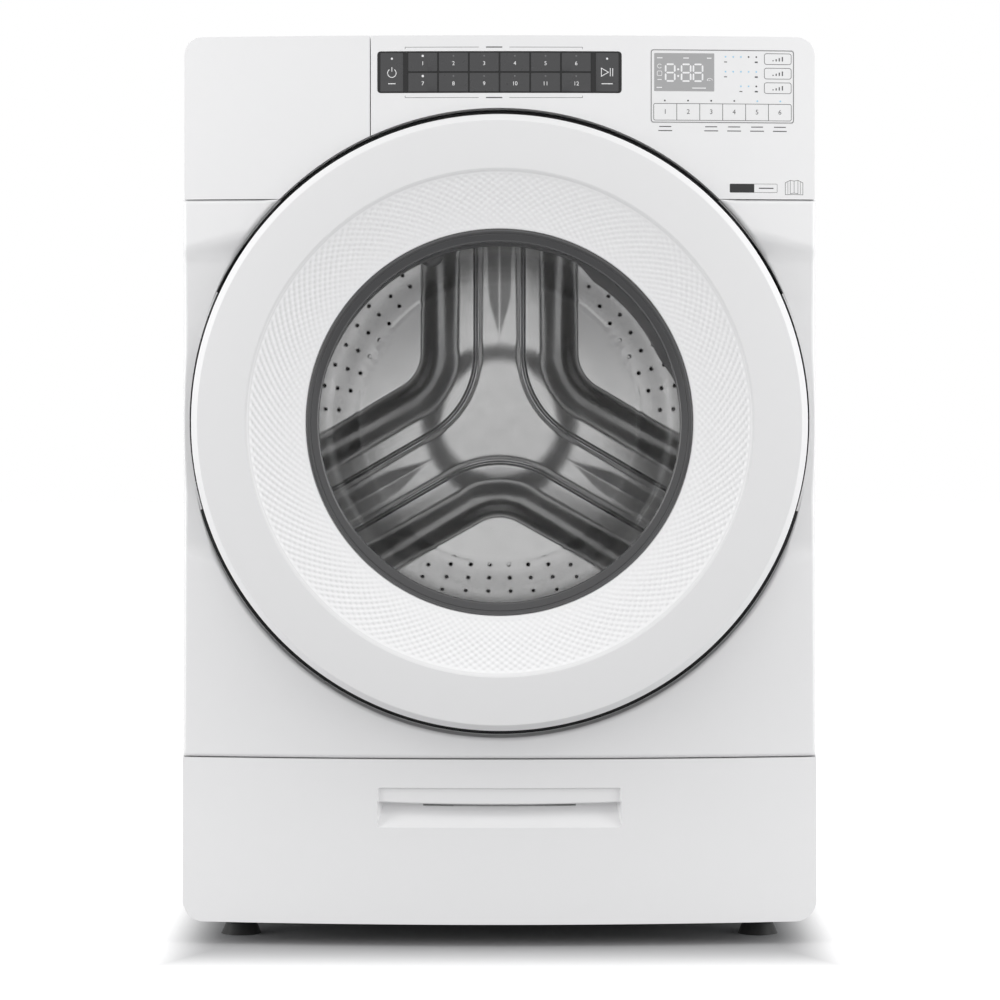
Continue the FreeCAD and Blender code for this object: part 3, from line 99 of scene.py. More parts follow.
# the round recess that the door shuts into, and the seam over the front panel
RECESS = RING_HIGH.x + 9.0
RECESS_FLOOR = 318.0
SEAM_GAP = 0.55
HIGH_SEAM = FASCIA_LOW.z - SEAM_GAP


def bow(x, z=0.0):
    """How far forward the bowed front stands at x; it is the same at every height z."""
    return CREST - BOW + math.sqrt(BOW * BOW - x * x)


def bow_normal(x):
    """The direction that the bowed front faces at x."""
    lean = x / BOW
    return Vector((lean, -math.sqrt(1 - lean * lean), 0))


# ---------------------------------------------------------------- settings


class WASHER_PG_sizes(bpy.types.PropertyGroup):
    """Sizes of the fine detail, in metres."""

    edge_round: FloatProperty(
        name="Moulded edge round", description="Radius of the front mouldings' edges", default=0.0016,
        unit="LENGTH")
    arch_round: FloatProperty(
        name="Arch round", description="Radius of the edge round the door recess", default=0.0045,
        unit="LENGTH")
    dimple_pitch: FloatProperty(
        name="Dimple pitch", description="Distance between dimples round the door's dish", default=0.0088,
        unit="LENGTH")
    dimple_row: FloatProperty(
        name="Dimple row", description="Distance between rows of dimples", default=0.0034, unit="LENGTH")
    dimple_depth: FloatProperty(
        name="Dimple depth", description="Depth of each dimple", default=0.0016, unit="LENGTH")
    drum_hole: FloatProperty(
        name="Drum hole", description="Diameter of the holes in the drum", default=0.0042, unit="LENGTH")
    bead_width: FloatProperty(
        name="Bead width", description="Width of the pressed bead along the drum's star", default=0.006,
        unit="LENGTH")
    camera_distance: FloatProperty(
        name="Camera distance", description="From the drum's middle plane to the camera", default=4.33,
        unit="LENGTH")
    camera_height: FloatProperty(
        name="Camera height", description="Height of the camera over the floor", default=0.632, unit="LENGTH")


class WASHER_PG_colours(bpy.types.PropertyGroup):
    """Base colours of the finishes."""

    moulding: FloatVectorProperty(
        name="White moulding", description="Front mouldings and door", subtype="COLOR", size=3,
        default=(0.84, 0.84, 0.845))
    enamel: FloatVectorProperty(
        name="Cabinet enamel", description="Painted steel cabinet", subtype="COLOR", size=3,
        default=(0.82, 0.82, 0.825))
    keypad: FloatVectorProperty(
        name="Keypad", description="Dark keypad surround", subtype="COLOR", size=3,
        default=(0.007, 0.007, 0.0075))
    keys: FloatVectorProperty(
        name="Keys", description="Key caps", subtype="COLOR", size=3, default=(0.050, 0.050, 0.052))
    trim: FloatVectorProperty(
        name="Glass trim", description="Dark ring round the glass", subtype="COLOR", size=3,
        default=(0.055, 0.055, 0.057))
    steel: FloatVectorProperty(
        name="Drum steel", description="Stainless drum", subtype="COLOR", size=3, default=(0.56, 0.56, 0.56))
    screen: FloatVectorProperty(
        name="Screen", description="Unlit display", subtype="COLOR", size=3, default=(0.38, 0.38, 0.385))


def sizes():
    return bpy.context.scene.washer_sizes


def colours():
    return bpy.context.scene.washer_colours


# ---------------------------------------------------------------- finishes


def add_node(tree, kind, **values):
    """Add a shader node, with its inputs or else its settings given by name."""
    made = tree.nodes.new(kind)
    for key, value in values.items():
        if key in made.inputs:
            made.inputs[key].default_value = value
        else:
            setattr(made, key, value)
    return made


class Finish:
    """A node material under construction: one Principled shader with grain in its roughness and bump."""

    def __init__(self, name, colour, roughness, metallic=0.0, coat=0.0):
        self.material = bpy.data.materials.new(name)
        self.material.use_nodes = True
        self.tree = self.material.node_tree
        self.shader = self.tree.nodes["Principled BSDF"]
        self.shader.inputs["Base Color"].default_value = (*colour, 1)
        self.shader.inputs["Roughness"].default_value = roughness
        self.shader.inputs["Metallic"].default_value = metallic
        self.shader.inputs["Coat Weight"].default_value = coat
        self.shader.inputs["IOR"].default_value = PLASTIC_IOR
        self.colour = colour
        self.roughness = roughness

    def node(self, kind, **values):
        return add_node(self.tree, kind, **values)

    def link(self, source, target):
        self.tree.links.new(source, target)

    def place(self, stretch=(1, 1, 1)):
        """Object coordinates in metres, stretched along an axis to draw the grain out."""
        where = self.node("ShaderNodeTexCoord")
        mapping = self.node("ShaderNodeMapping")
        mapping.inputs["Scale"].default_value = stretch
        self.link(where.outputs["Object"], mapping.inputs["Vector"])
        return mapping.outputs["Vector"]

    def noise(self, scale, detail, stretch=(1, 1, 1)):
        """Cloudy grain: scale is its grains in a metre, detail how many finer layers it has."""
        made = self.node("ShaderNodeTexNoise", Scale=scale, Detail=detail)
        self.link(self.place(stretch), made.inputs["Vector"])
        return made.outputs["Fac"]

    def between(self, source, low, high):
        """Spread a 0 to 1 value between low and high."""
        made = self.node("ShaderNodeMapRange")
        made.inputs["From Min"].default_value = 0.25
        made.inputs["From Max"].default_value = 0.75
        made.inputs["To Min"].default_value = low
        made.inputs["To Max"].default_value = high
        self.link(source, made.inputs["Value"])
        return made.outputs["Result"]

    def vary_roughness(self, source, spread):
        """Let the roughness wander by spread to either side."""
        low, high = self.roughness - spread, self.roughness + spread
        self.link(self.between(source, max(low, 0.02), min(high, 1.0)), self.shader.inputs["Roughness"])
        return self

    def vary_colour(self, source, spread):
        """Lighten and darken the base colour a little."""
        ramp = self.node("ShaderNodeMix", data_type="RGBA")
        dark = [c * (1 - spread) for c in self.colour]
        light = [min(c * (1 + spread), 1) for c in self.colour]
        ramp.inputs[6].default_value = (*dark, 1)
        ramp.inputs[7].default_value = (*light, 1)
        self.link(self.between(source, 0, 1), ramp.inputs[0])
        self.link(ramp.outputs[2], self.shader.inputs["Base Color"])
        return self

    def bump(self, source, strength, distance):
        """Add a relief of a height in metres over what relief is already there."""
        made = self.node("ShaderNodeBump", Strength=strength, Distance=distance)
        self.link(source, made.inputs["Height"])
        last = self.shader.inputs["Normal"]
        if last.is_linked:
            self.link(last.links[0].from_socket, made.inputs["Normal"])
        self.link(made.outputs["Normal"], last)
        return self


FINISHES = {}


def moulded(name, colour, roughness, grain=0.05, coat=0.0):
    """Injection-moulded plastic: faint flow marks, fine grain."""
    made = Finish(name, colour, roughness, coat=coat)
    made.vary_roughness(made.noise(70, 2), 0.012)
    made.vary_colour(made.noise(45, 2), 0.003)
    made.bump(made.noise(2600, 2), grain, 0.00008)
    return made


def enamelled(name, colour):
    """Sprayed enamel on steel sheet: orange peel and a slow waviness."""
    made = Finish(name, colour, 0.3, coat=0.15)
    made.vary_roughness(made.noise(60, 2), 0.015)
    made.vary_colour(made.noise(40, 2), 0.004)
    made.bump(made.noise(420, 3), 0.10, 0.0001)
    made.bump(made.noise(9, 1), 0.08, 0.0008)
    return made


def galvanised(name):
    """Zinc-coated sheet with its spangle."""
    made = Finish(name, (0.44, 0.455, 0.47), 0.42, metallic=1.0)
    flakes = made.node("ShaderNodeTexVoronoi", Scale=75.0)
    made.link(made.place(), flakes.inputs["Vector"])
    made.vary_colour(flakes.outputs["Distance"], 0.05)
    made.vary_roughness(flakes.outputs["Distance"], 0.05)
    made.bump(made.noise(900, 2), 0.05, 0.00005)
    return made


def drawn_steel(name, colour, roughness, stretch=(1, 1, 1), grain=0.05):
    """Rolled or polished steel with a fine directional grain."""
    made = Finish(name, colour, roughness, metallic=1.0)
    made.vary_roughness(made.noise(60, 3, stretch), 0.03)
    made.vary_colour(made.noise(7, 2), 0.03)
    made.bump(made.noise(500, 2, stretch), grain, 0.00001)
    return made


def rubber(name, colour):
    """Matt rubber with a dusty, uneven skin."""
    made = Finish(name, colour, 0.62)
    made.vary_roughness(made.noise(40, 4), 0.08)
    made.vary_colour(made.noise(60, 4), 0.12)
    made.bump(made.noise(1100, 3), 0.16, 0.0001)
    return made


def cast(name, colour, roughness=0.55, metallic=1.0):
    """Cast metal or concrete with a coarse skin."""
    made = Finish(name, colour, roughness, metallic=metallic)
    made.vary_roughness(made.noise(120, 4), 0.10)
    made.vary_colour(made.noise(45, 5), 0.14)
    made.bump(made.noise(520, 4), 0.35, 0.0003)
    return made


def printed(name, colour, roughness=0.5):
    """Thin ink and a small lamp's lens; also the near-black caps that close the drum holes, painted shade."""
    made = Finish(name, colour, roughness)
    made.vary_roughness(made.noise(800, 2), 0.06)
    made.vary_colour(made.noise(900, 2), 0.04)
    return made


def clear_glass():
    """Thin pressed glass: see-through, mirror-like at a slant, with a slow ripple in its surface."""
    made = Finish("bowl_glass", (1, 1, 1), 0.02)
    tree = made.tree
    through = made.node("ShaderNodeBsdfTransparent")
    through.inputs["Color"].default_value = (0.985, 0.985, 0.985, 1)
    mirror = made.node("ShaderNodeBsdfGlossy", Roughness=0.06)
    slant = made.node("ShaderNodeLayerWeight", Blend=0.5)
    rise = made.node("ShaderNodeMath", operation="POWER")
    rise.inputs[1].default_value = 4.0
    made.link(slant.outputs["Facing"], rise.inputs[0])
    share = made.node("ShaderNodeMapRange")
    share.inputs["To Min"].default_value = 0.012
    share.inputs["To Max"].default_value = 0.34
    made.link(rise.outputs["Value"], share.inputs["Value"])
    ripple = made.node("ShaderNodeBump", Strength=0.05, Distance=0.0008)
    made.link(made.noise(9, 1), ripple.inputs["Height"])
    made.link(ripple.outputs["Normal"], mirror.inputs["Normal"])
    mix = made.node("ShaderNodeMixShader")
    made.link(share.outputs["Result"], mix.inputs["Fac"])
    made.link(through.outputs["BSDF"], mix.inputs[1])
    made.link(mirror.outputs["BSDF"], mix.inputs[2])
    tree.nodes.remove(made.shader)
    made.link(mix.outputs["Shader"], tree.nodes["Material Output"].inputs["Surface"])
    return made


def make_finishes():
    c = colours()
    FINISHES["white"] = moulded("white_moulding", tuple(c.moulding), 0.26, 0.03, coat=0.1)
    FINISHES["white_ring"] = moulded("white_ring", (0.80, 0.80, 0.805), 0.3, 0.03)
    # the dish wears a lighter copy of the ring's plastic: painted light, for the light its sloping faces
    # catch
    FINISHES["painted_light_dish"] = moulded("painted_light_dish", (0.885, 0.885, 0.89), 0.3, 0.03)
    FINISHES["white_inner"] = moulded("white_inner_moulding", (0.80, 0.80, 0.805), 0.42, 0.08)
    FINISHES["enamel"] = enamelled("white_enamel", tuple(c.enamel))
    FINISHES["zinc_sheet"] = galvanised("galvanised_sheet")
    FINISHES["keypad"] = moulded("keypad_dark", tuple(c.keypad), 0.3, 0.02)
    FINISHES["keys"] = moulded("key_grey", tuple(c.keys), 0.28, 0.04, coat=0.1)
    FINISHES["trim"] = moulded("trim_dark", tuple(c.trim), 0.24, 0.03, coat=0.2)
    FINISHES["screen"] = moulded("screen_grey", tuple(c.screen), 0.14, 0.0, coat=0.3)
    FINISHES["overlay"] = moulded("overlay_white", (0.83, 0.83, 0.835), 0.22, 0.01, coat=0.3)
    FINISHES["print_grey"] = printed("print_grey", (0.075, 0.075, 0.077))
    FINISHES["lamp_dim"] = printed("lamp_dim", (0.16, 0.16, 0.165))
    FINISHES["print_black"] = printed("print_black", (0.02, 0.02, 0.021))
    FINISHES["print_blue"] = printed("print_blue", (0.33, 0.60, 0.78))
    FINISHES["print_white"] = printed("print_white", (0.86, 0.86, 0.865))
    FINISHES["gasket"] = rubber("gasket_rubber", (0.07, 0.07, 0.072))
    FINISHES["lifter"] = moulded("lifter_grey", (0.55, 0.55, 0.56), 0.35, 0.1)
    # painted shade: a near-black moulding laid in the gap round the door, where there is only shadow
    FINISHES["gap"] = moulded("painted_gap_shadow", (0.02, 0.02, 0.021), 0.6, 0.1)
    FINISHES["black_rubber"] = rubber("black_rubber", (0.018, 0.018, 0.018))
    FINISHES["drum"] = drawn_steel("drum_steel", tuple(c.steel), 0.34, (1, 0.04, 1))
    FINISHES["star"] = drawn_steel("star_steel", tuple(c.steel), 0.21, (1, 1, 1), 0.02)
    # painted shade: near-black caps close the drum holes' bores, where the tub behind is in shadow
    FINISHES["hole"] = printed("painted_hole_shade", (0.012, 0.012, 0.012), 0.8)
    FINISHES["zinc_steel"] = drawn_steel("zinc_steel", (0.60, 0.60, 0.59), 0.34, (1, 1, 1), 0.08)
    FINISHES["alloy"] = cast("cast_alloy", (0.50, 0.50, 0.51))
    FINISHES["concrete"] = cast("ballast_concrete", (0.42, 0.41, 0.39), 0.85, 0.0)
    FINISHES["tub"] = moulded("tub_plastic", (0.42, 0.43, 0.45), 0.5, 0.2)
    FINISHES["grey_plastic"] = moulded("grey_plastic", (0.24, 0.245, 0.255), 0.5, 0.2)
    FINISHES["black_plastic"] = moulded("black_plastic", (0.022, 0.022, 0.023), 0.42, 0.2)
    FINISHES["blue_plastic"] = moulded("blue_plastic", (0.05, 0.14, 0.36), 0.42, 0.15)
    FINISHES["grey_paint"] = enamelled("grey_paint", (0.18, 0.185, 0.19))
    FINISHES["glass"] = clear_glass()


def finish(name):
    return FINISHES[name].material


class WASHER_OT_finishes(bpy.types.Operator):
    """Make the finishes that the pieces wear"""

    bl_idname = "washer.finishes"
    bl_label = "Finishes"

    def execute(self, context):
        make_finishes()
        return {"FINISHED"}


# ---------------------------------------------------------------- building pieces


def piece(name, mesh, body, slot, *finishes, sharp=35.0, stands_for=()):
    """Put a finished mesh in the scene as a piece on a body, in its finish and in place of CAD nodes."""
    for kind in finishes:
        mesh.materials.append(finish(kind))
    mesh.polygons.foreach_set("use_smooth", [True] * len(mesh.polygons))
    mesh.set_sharp_from_angle(angle=math.radians(sharp))
    made = bpy.data.objects.new(name, mesh)
    bpy.context.scene.collection.objects.link(made)
    if body:
        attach(made, body)
    if stands_for:
        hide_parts(*stands_for)
    return made


def mesh_of(name, points, faces, kinds=None):
    """A mesh from points in millimetres."""
    made = bpy.data.meshes.new(name)
    made.from_pydata([[v * MM for v in p] for p in points], [], faces)
    if kinds:
        made.polygons.foreach_set("material_index", kinds)
    made.validate()
    made.update()
    return made


def lattice(rows, round_columns=False, round_rows=False):
    """Points and quads of a surface given as rows of points."""
    count, wide = len(rows), len(rows[0])
    points = [p for row in rows for p in row]
    faces = []
    for i in range(count if round_rows else count - 1):
        for j in range(wide if round_columns else wide - 1):
            a, b = i * wide + j, i * wide + (j + 1) % wide
            c, e = ((i + 1) % count) * wide + (j + 1) % wide, ((i + 1) % count) * wide + j
            faces.append((a, b, c, e))
    return points, faces


def softened(corners, radius, steps=4, closed=True):
    """Round each corner of a section. A corner may carry its own radius as a third value."""
    made = []
    count = len(corners)
    for i, corner in enumerate(corners):
        here = Vector(corner[:2])
        if not closed and i in (0, count - 1):
            made.append(tuple(here))
            continue
        before, after = Vector(corners[i - 1][:2]), Vector(corners[(i + 1) % count][:2])
        wanted = corner[2] if len(corner) > 2 else radius
        into, out = here - before, after - here
        turn = into.angle(out, 0)
        if wanted <= 0 or turn < 0.02 or turn > 3.1:
            made.append(tuple(here))
            continue
        cut = min(wanted * math.tan(turn / 2), into.length * 0.49, out.length * 0.49)
        start, end = here - into.normalized() * cut, here + out.normalized() * cut
        for k in range(steps + 1):
            t = k / steps
            made.append(tuple(start * (1 - t) ** 2 + here * (2 * t * (1 - t)) + end * t * t))
    return made


def turned(name, section, height, segments=256):
    """Turn a closed (radius, forward) section round the door or drum axis."""
    rows = []
    for k in range(segments):
        a = 2 * math.pi * k / segments
        c, s = math.cos(a), math.sin(a)
        rows.append([(r * c, -f, height + r * s) for r, f in section])
    return mesh_of(name, *lattice(rows, round_columns=True, round_rows=True))


def gather(name, parts):
    """One mesh from several (points, faces, kind) lists."""
    points, faces, kinds = [], [], []
    for some, polygons, kind in parts:
        base = len(points)
        points += some
        faces += [tuple(i + base for i in polygon) for polygon in polygons]
        kinds += [kind] * len(polygons) if isinstance(kind, int) else kind
    return mesh_of(name, points, faces, kinds)


def rounded_outline(left, low, right, high, radius, steps=6):
    """A rectangle with round corners, anticlockwise, as (x, z)."""
    made = []
    radius = min(radius, (right - left) / 2 - 0.001, (high - low) / 2 - 0.001)
    spots = [(right - radius, high - radius, 0), (left + radius, high - radius, 90),
             (left + radius, low + radius, 180), (right - radius, low + radius, 270)]
    for x, z, start in spots:
        for k in range(steps + 1):
            a = math.radians(start + 90 * k / steps)
            made.append((x + radius * math.cos(a), z + radius * math.sin(a)))
    return made


def box_outline(low, high, grown, radius, steps=6):
    """A piece's own outline with round corners, grown all round."""
    return rounded_outline(low.x - grown, low.z - grown, high.x + grown, high.z + grown, radius, steps)


def bowed_plate(outline, holes, face, back, strips=90):
    """A plate cut to an (x, z) outline with holes, whose front follows face(x, z).

    Returns a bmesh in millimetres, its front cut into upright strips so that each is nearly flat."""
    bm = bmesh.new()
    loops = [outline, *holes]
    flat = [[Vector((x, 0, z)) for x, z in loop] for loop in loops]
    triangles = tessellate_polygon(flat)
    corners = [bm.verts.new(p) for loop in flat for p in loop]
    for t in triangles:
        bm.faces.new([corners[i] for i in t])
    bmesh.ops.recalc_face_normals(bm, faces=bm.faces)
    low = min(p[0] for p in outline)
    high = max(p[0] for p in outline)
    step = 2 * HALF / strips
    first = math.ceil(low / step)
    for k in range(first, math.floor(high / step) + 1):
        geometry = bm.verts[:] + bm.edges[:] + bm.faces[:]
        bmesh.ops.bisect_plane(bm, geom=geometry, plane_co=(k * step, 0, 0), plane_no=(1, 0, 0), dist=0.0005)
    bmesh.ops.remove_doubles(bm, verts=bm.verts, dist=0.001)
    front = bm.faces[:]
    lifted = bmesh.ops.extrude_face_region(bm, geom=front)
    fresh = [v for v in lifted["geom"] if isinstance(v, bmesh.types.BMVert)]
    for v in bm.verts:
        v.co.y = -back
    for v in fresh:
        v.co.y = -face(v.co.x, v.co.z)
    bmesh.ops.recalc_face_normals(bm, faces=bm.faces)
    bmesh.ops.dissolve_limit(bm, angle_limit=math.radians(0.04), verts=bm.verts, edges=bm.edges)
    return bm


def rims(bm, face, tolerance=0.05):
    """The edges where a plate's front turns into its sides."""
    found = []
    for e in bm.edges:
        if len(e.link_faces) != 2 or e.calc_face_angle(0) < math.radians(50):
            continue
        if all(abs(-v.co.y - face(v.co.x, v.co.z)) < tolerance for v in e.verts):
            found.append(e)
    return found


def soften_edges(bm, edges, radius, segments):
    """Round edges of a bmesh."""
    bmesh.ops.bevel(bm, geom=edges, offset=radius, segments=segments, profile=0.5, affect="EDGES",
                    clamp_overlap=True)


def settle(name, bm):
    """Turn a bmesh in millimetres into a mesh in metres."""
    bmesh.ops.scale(bm, vec=(MM, MM, MM), verts=bm.verts)
    made = bpy.data.meshes.new(name)
    bm.to_mesh(made)
    bm.free()
    return made


def match_bow(made):
    """Give the corners on the bowed front the bow's own direction, so that it shades as one surface."""
    mesh = made.data
    wanted = [None] * len(mesh.vertices)
    for polygon in mesh.polygons:
        x = polygon.center.x / MM
        if abs(x) < HALF and polygon.normal.dot(bow_normal(x)) > 0.99995:
            for v in polygon.vertices:
                wanted[v] = bow_normal(mesh.vertices[v].co.x / MM)
    normals = [tuple(n.vector) for n in mesh.corner_normals]
    for polygon in mesh.polygons:
        for loop in polygon.loop_indices:
            v = mesh.loops[loop].vertex_index
            if wanted[v] is not None and polygon.normal.dot(wanted[v]) > 0.5:
                normals[loop] = tuple(wanted[v])
    mesh.normals_split_custom_set(normals)


def bowed_piece(name, outline, holes, face, back, edge, steps, *where, strips=120, stands_for=()):
    """A plate on the bowed front with all its front edges rounded, as a piece."""
    bm = bowed_plate(outline, holes, face, back, strips)
    soften_edges(bm, rims(bm, face), edge, steps)
    match_bow(piece(name, settle(name, bm), *where, stands_for=stands_for))


def smooth_step(t):
    """0 below zero, 1 above one, and a soft climb between."""
    t = min(max(t, 0.0), 1.0)
    return t * t * (3 - 2 * t)


def soft_min(a, b, width):
    """The smaller of two heights with a round where they cross."""
    h = min(max(0.5 + 0.5 * (b - a) / width, 0.0), 1.0)
    return b * (1 - h) + a * h - width * h * (1 - h)


def soft_ramp(t, width):
    """Zero below nothing, t above, with a round between."""
    if t <= -width:
        return 0.0
    if t >= width:
        return t
    return (t + width) ** 2 / (4 * width)


# ---------------------------------------------------------------- front panel

# beside the door the panel is set back from this far under to this far over the door's axis
SET_BACK_UNDER, SET_BACK_OVER = 136.0, 178.0


def panel_face(x, z):
    """The front panel's height: bowed, and set back beside the door."""
    up = z - DOOR_Z
    climb = max(up - SET_BACK_OVER, -up - SET_BACK_UNDER)
    ramp = RECESS_FLOOR + 0.07 * soft_ramp(climb + 56.0, 12.0) + 0.5 * soft_ramp(climb, 7.0)
    return soft_min(bow(min(abs(x), HALF)), ramp, 3.0)


def panel_angles():
    """Directions from the door's axis to the panel's rim, clockwise from one end of the arch to the other."""
    low, high = PANEL_LOW.z - DOOR_Z, HIGH_SEAM - DOOR_Z
    top = math.asin(high / RECESS)
    stops = [top, math.atan2(high, HALF), math.atan2(low, HALF), math.atan2(low, -HALF),
             math.atan2(high, -HALF) - 2 * math.pi, math.pi - top - 2 * math.pi]
    angles = []
    for a, b, steps in zip(stops, stops[1:], (24, 260, 160, 260, 24)):
        angles += [a + (b - a) * k / steps for k in range(steps)]
    return [*angles, stops[-1]]


def panel_row(a):
    """Spots from the recess's floor up its wall and out to the panel's rim, and their faces' finishes: the
    floor's faces beside a tall wall are painted shade.
    """
    low, high = PANEL_LOW.z - DOOR_Z, HIGH_SEAM - DOOR_Z
    c, s = math.cos(a), math.sin(a)
    around = RECESS + 2.2 * smooth_step(-s * 1.4)
    across = HALF / max(abs(c), 1e-9)
    upright = (high if s > 0 else low) / s if abs(s) > 1e-9 else math.inf
    reach = max(min(across, upright), around)
    edge = min(5.5, (reach - around) * 0.4)
    tall = panel_face(around * c, DOOR_Z + around * s) - RECESS_FLOOR
    big = max(min(sizes().arch_round / MM, reach - around - edge, tall * 0.8), 0.0)
    small = min(3.0, max(tall, 0.0) * 0.15)

    def spot(r, forward):
        return (r * c, -forward, DOOR_Z + r * s)

    def on_face(r, drop=0.0):
        return spot(r, panel_face(r * c, DOOR_Z + r * s) - drop)

    row = [spot(around - inset, RECESS_FLOOR) for inset in (11.0, 6.0, 3.0)]
    for k in range(5):
        t = math.pi / 2 * k / 4
        row.append(spot(around - small + small * math.sin(t), RECESS_FLOOR + small * (1 - math.cos(t))))
    for k in range(9):
        t = math.pi / 2 * k / 8
        row.append(on_face(around + big * (1 - math.cos(t)), big * (1 - math.sin(t))))
    start, stop = around + big, reach - edge
    row += [on_face(start + (stop - start) * k / 24) for k in range(1, 25)]
    for k in range(1, 6):
        t = math.pi / 2 * k / 5
        row.append(on_face(reach - edge + edge * math.sin(t), edge * (1 - math.cos(t))))
    x, y, z = row[-1]
    row += [(x, min(y + 6, -300), z), (x, -298.0, z)]
    # floor faces at the foot of a tall wall take the near-black gap finish: painted shade
    return row, [int(tall > 1.2 and k < 5) for k in range(len(row) - 1)]


def recess_floor():
    """The recess's floor with the hole for the gasket, and its faces' finishes: painted shade, near black,
    only at its edge.
    """
    hole = GASKET_HIGH.x - 10.6
    rings = []
    for k in range(256):
        a = 2 * math.pi * k / 256
        c, s = math.cos(a), math.sin(a)
        ring = [(hole * c, -304.0, DRUM_Z + hole * s)]
        for turn in (0.0, math.pi / 4, math.pi / 2):
            r, f = hole + 2 * (1 - math.cos(turn)), RECESS_FLOOR - 2 * (1 - math.sin(turn))
            ring.append((r * c, -f, DRUM_Z + r * s))
        for t in (0.2, 0.5, 0.8, 0.88, 1.0):
            middle = DRUM_Z + (DOOR_Z - DRUM_Z) * t
            r = (hole + 2) * (1 - t) + 336.0 * t
            ring.append((r * c, -RECESS_FLOOR, middle + r * s))
        rings.append(ring)
    surface = lattice(rings, round_rows=True)
    # the outermost ring of faces takes the near-black gap finish: painted shade
    across = len(rings[0]) - 1
    return surface, [int(k % across == across - 1) for k in range(len(surface[1]))]


class WASHER_OT_front_panel(bpy.types.Operator):
    """Build the bowed front panel with its round recess and set-back sides"""

    bl_idname = "washer.front_panel"
    bl_label = "Front panel"

    def execute(self, context):
        rows, kinds = [], []
        for a in panel_angles():
            row, shades = panel_row(a)
            rows.append(row)
            kinds += shades
        skin = lattice(rows)
        floor, shades = recess_floor()
        mesh = gather("front_panel_skin", [(*skin, kinds[:len(skin[1])]), (*floor, shades)])
        # the third finish, the near-black gap, is painted shade in the recess round the door
        piece("front_moulding", mesh, "cabinet", "white_front", "white", "gap", sharp=60,
              stands_for=["front_panel"])
        return {"FINISHED"}


# ---------------------------------------------------------------- console

CONSOLE_CORNER = 20.0
CONSOLE_RIM = 4.5


def arch_outline(left, right, low, high, corner_at):
    """A console moulding's outline: straight sides and top, round outer corner, and the door's arch below."""
    made = []
    reach = RECESS
    low_left = DOOR_Z + math.sqrt(max(reach ** 2 - left ** 2, 0)) if abs(left) < reach else low
    low_right = DOOR_Z + math.sqrt(max(reach ** 2 - right ** 2, 0)) if abs(right) < reach else low
    flat_x = math.sqrt(reach ** 2 - (low - DOOR_Z) ** 2)
    start, stop = left, right
    if low_left < low or abs(left) >= flat_x:
        made.append((left, low))
        start = -flat_x
    if low_right < low or abs(right) >= flat_x:
        stop = flat_x
    a0 = math.acos(max(min(start / reach, 1), -1))
    a1 = math.acos(max(min(stop / reach, 1), -1))
    steps = max(int(abs(a0 - a1) * reach / 4), 8)
    for k in range(steps + 1):
        a = a0 + (a1 - a0) * k / steps
        made.append((reach * math.cos(a), DOOR_Z + reach * math.sin(a)))
    if stop != right:
        made.append((right, low))
    for x, end in ((right, "right"), (left, "left")):
        if corner_at == end:
            sign = 1 if end == "right" else -1
            for k in range(13):
                t = math.radians(90 * k / 12)
                if end == "left":
                    t = math.radians(90) - t
                made.append((x - sign * CONSOLE_CORNER * (1 - math.cos(t)),
                             high - CONSOLE_CORNER * (1 - math.sin(t))))
        else:
            made.append((x, high))
    return made


def console_piece(name, outline, holes, back, *where):
    """A bowed console moulding, its edges soft along the door's arch, wide at its rim and fine elsewhere."""
    bm = bowed_plate(outline, holes, bow, back)
    high = max(z for x, z in outline)

    def on_arch(e):
        return all(abs(math.hypot(v.co.x, v.co.z - DOOR_Z) - RECESS) < 0.3 for v in e.verts)

    def outer(v):
        return abs(v.co.x) > HALF - 4 and v.co.z < high - 15 or abs(v.co.x) > HALF - 24 and v.co.z > high - 24

    def on_rim(e):
        return all(outer(v) or v.co.z > high - 0.5 for v in e.verts)

    soften_edges(bm, [e for e in rims(bm, bow) if on_arch(e)], sizes().arch_round / MM * 0.9, 7)
    soften_edges(bm, [e for e in rims(bm, bow) if not on_rim(e)], sizes().edge_round / MM, 4)
    soften_edges(bm, [e for e in rims(bm, bow) if on_rim(e)], CONSOLE_RIM, 6)
    match_bow(piece(name, settle(name, bm), *where))


class WASHER_OT_console(bpy.types.Operator):
    """Build the control fascia and the detergent drawer's front"""

    bl_idname = "washer.console"
    bl_label = "Console mouldings"

    def execute(self, context):
        high = FASCIA_HIGH.z
        fascia = arch_outline(FASCIA_LOW.x, FASCIA_HIGH.x, FASCIA_LOW.z, high, "right")
        keypad = box_outline(BEZEL_LOW, BEZEL_HIGH, 0.3, 3.8)
        screen = box_outline(SCREEN_LOW, SCREEN_HIGH, 0.2, 3)
        console_piece("control_moulding", fascia, [keypad, screen], -FASCIA_HIGH.y,
                      "cabinet", "white_front", "white")
        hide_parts("control_fascia")
        drawer = arch_outline(DRAWER_LOW.x, DRAWER_HIGH.x, DRAWER_LOW.z, high, "left")
        console_piece("drawer_moulding", drawer, [], -DRAWER_HIGH.y, "drawer", "white_front", "white")
        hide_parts("drawer_front")
        return {"FINISHED"}


# ---------------------------------------------------------------- lower access panel

FLAP_CORNER = 23.0
HANDLE_HALF = 131.7
HANDLE_LOW, HANDLE_HIGH = 129.0, 172.0
# the lip hangs from the handle's top; behind it a slot reaches over a share of the width
LIP = HANDLE_HIGH - 16.4
SLOT_SHARE = 0.655
SLOT_TALL = 4.0
SLOT_DEEP = 34.0


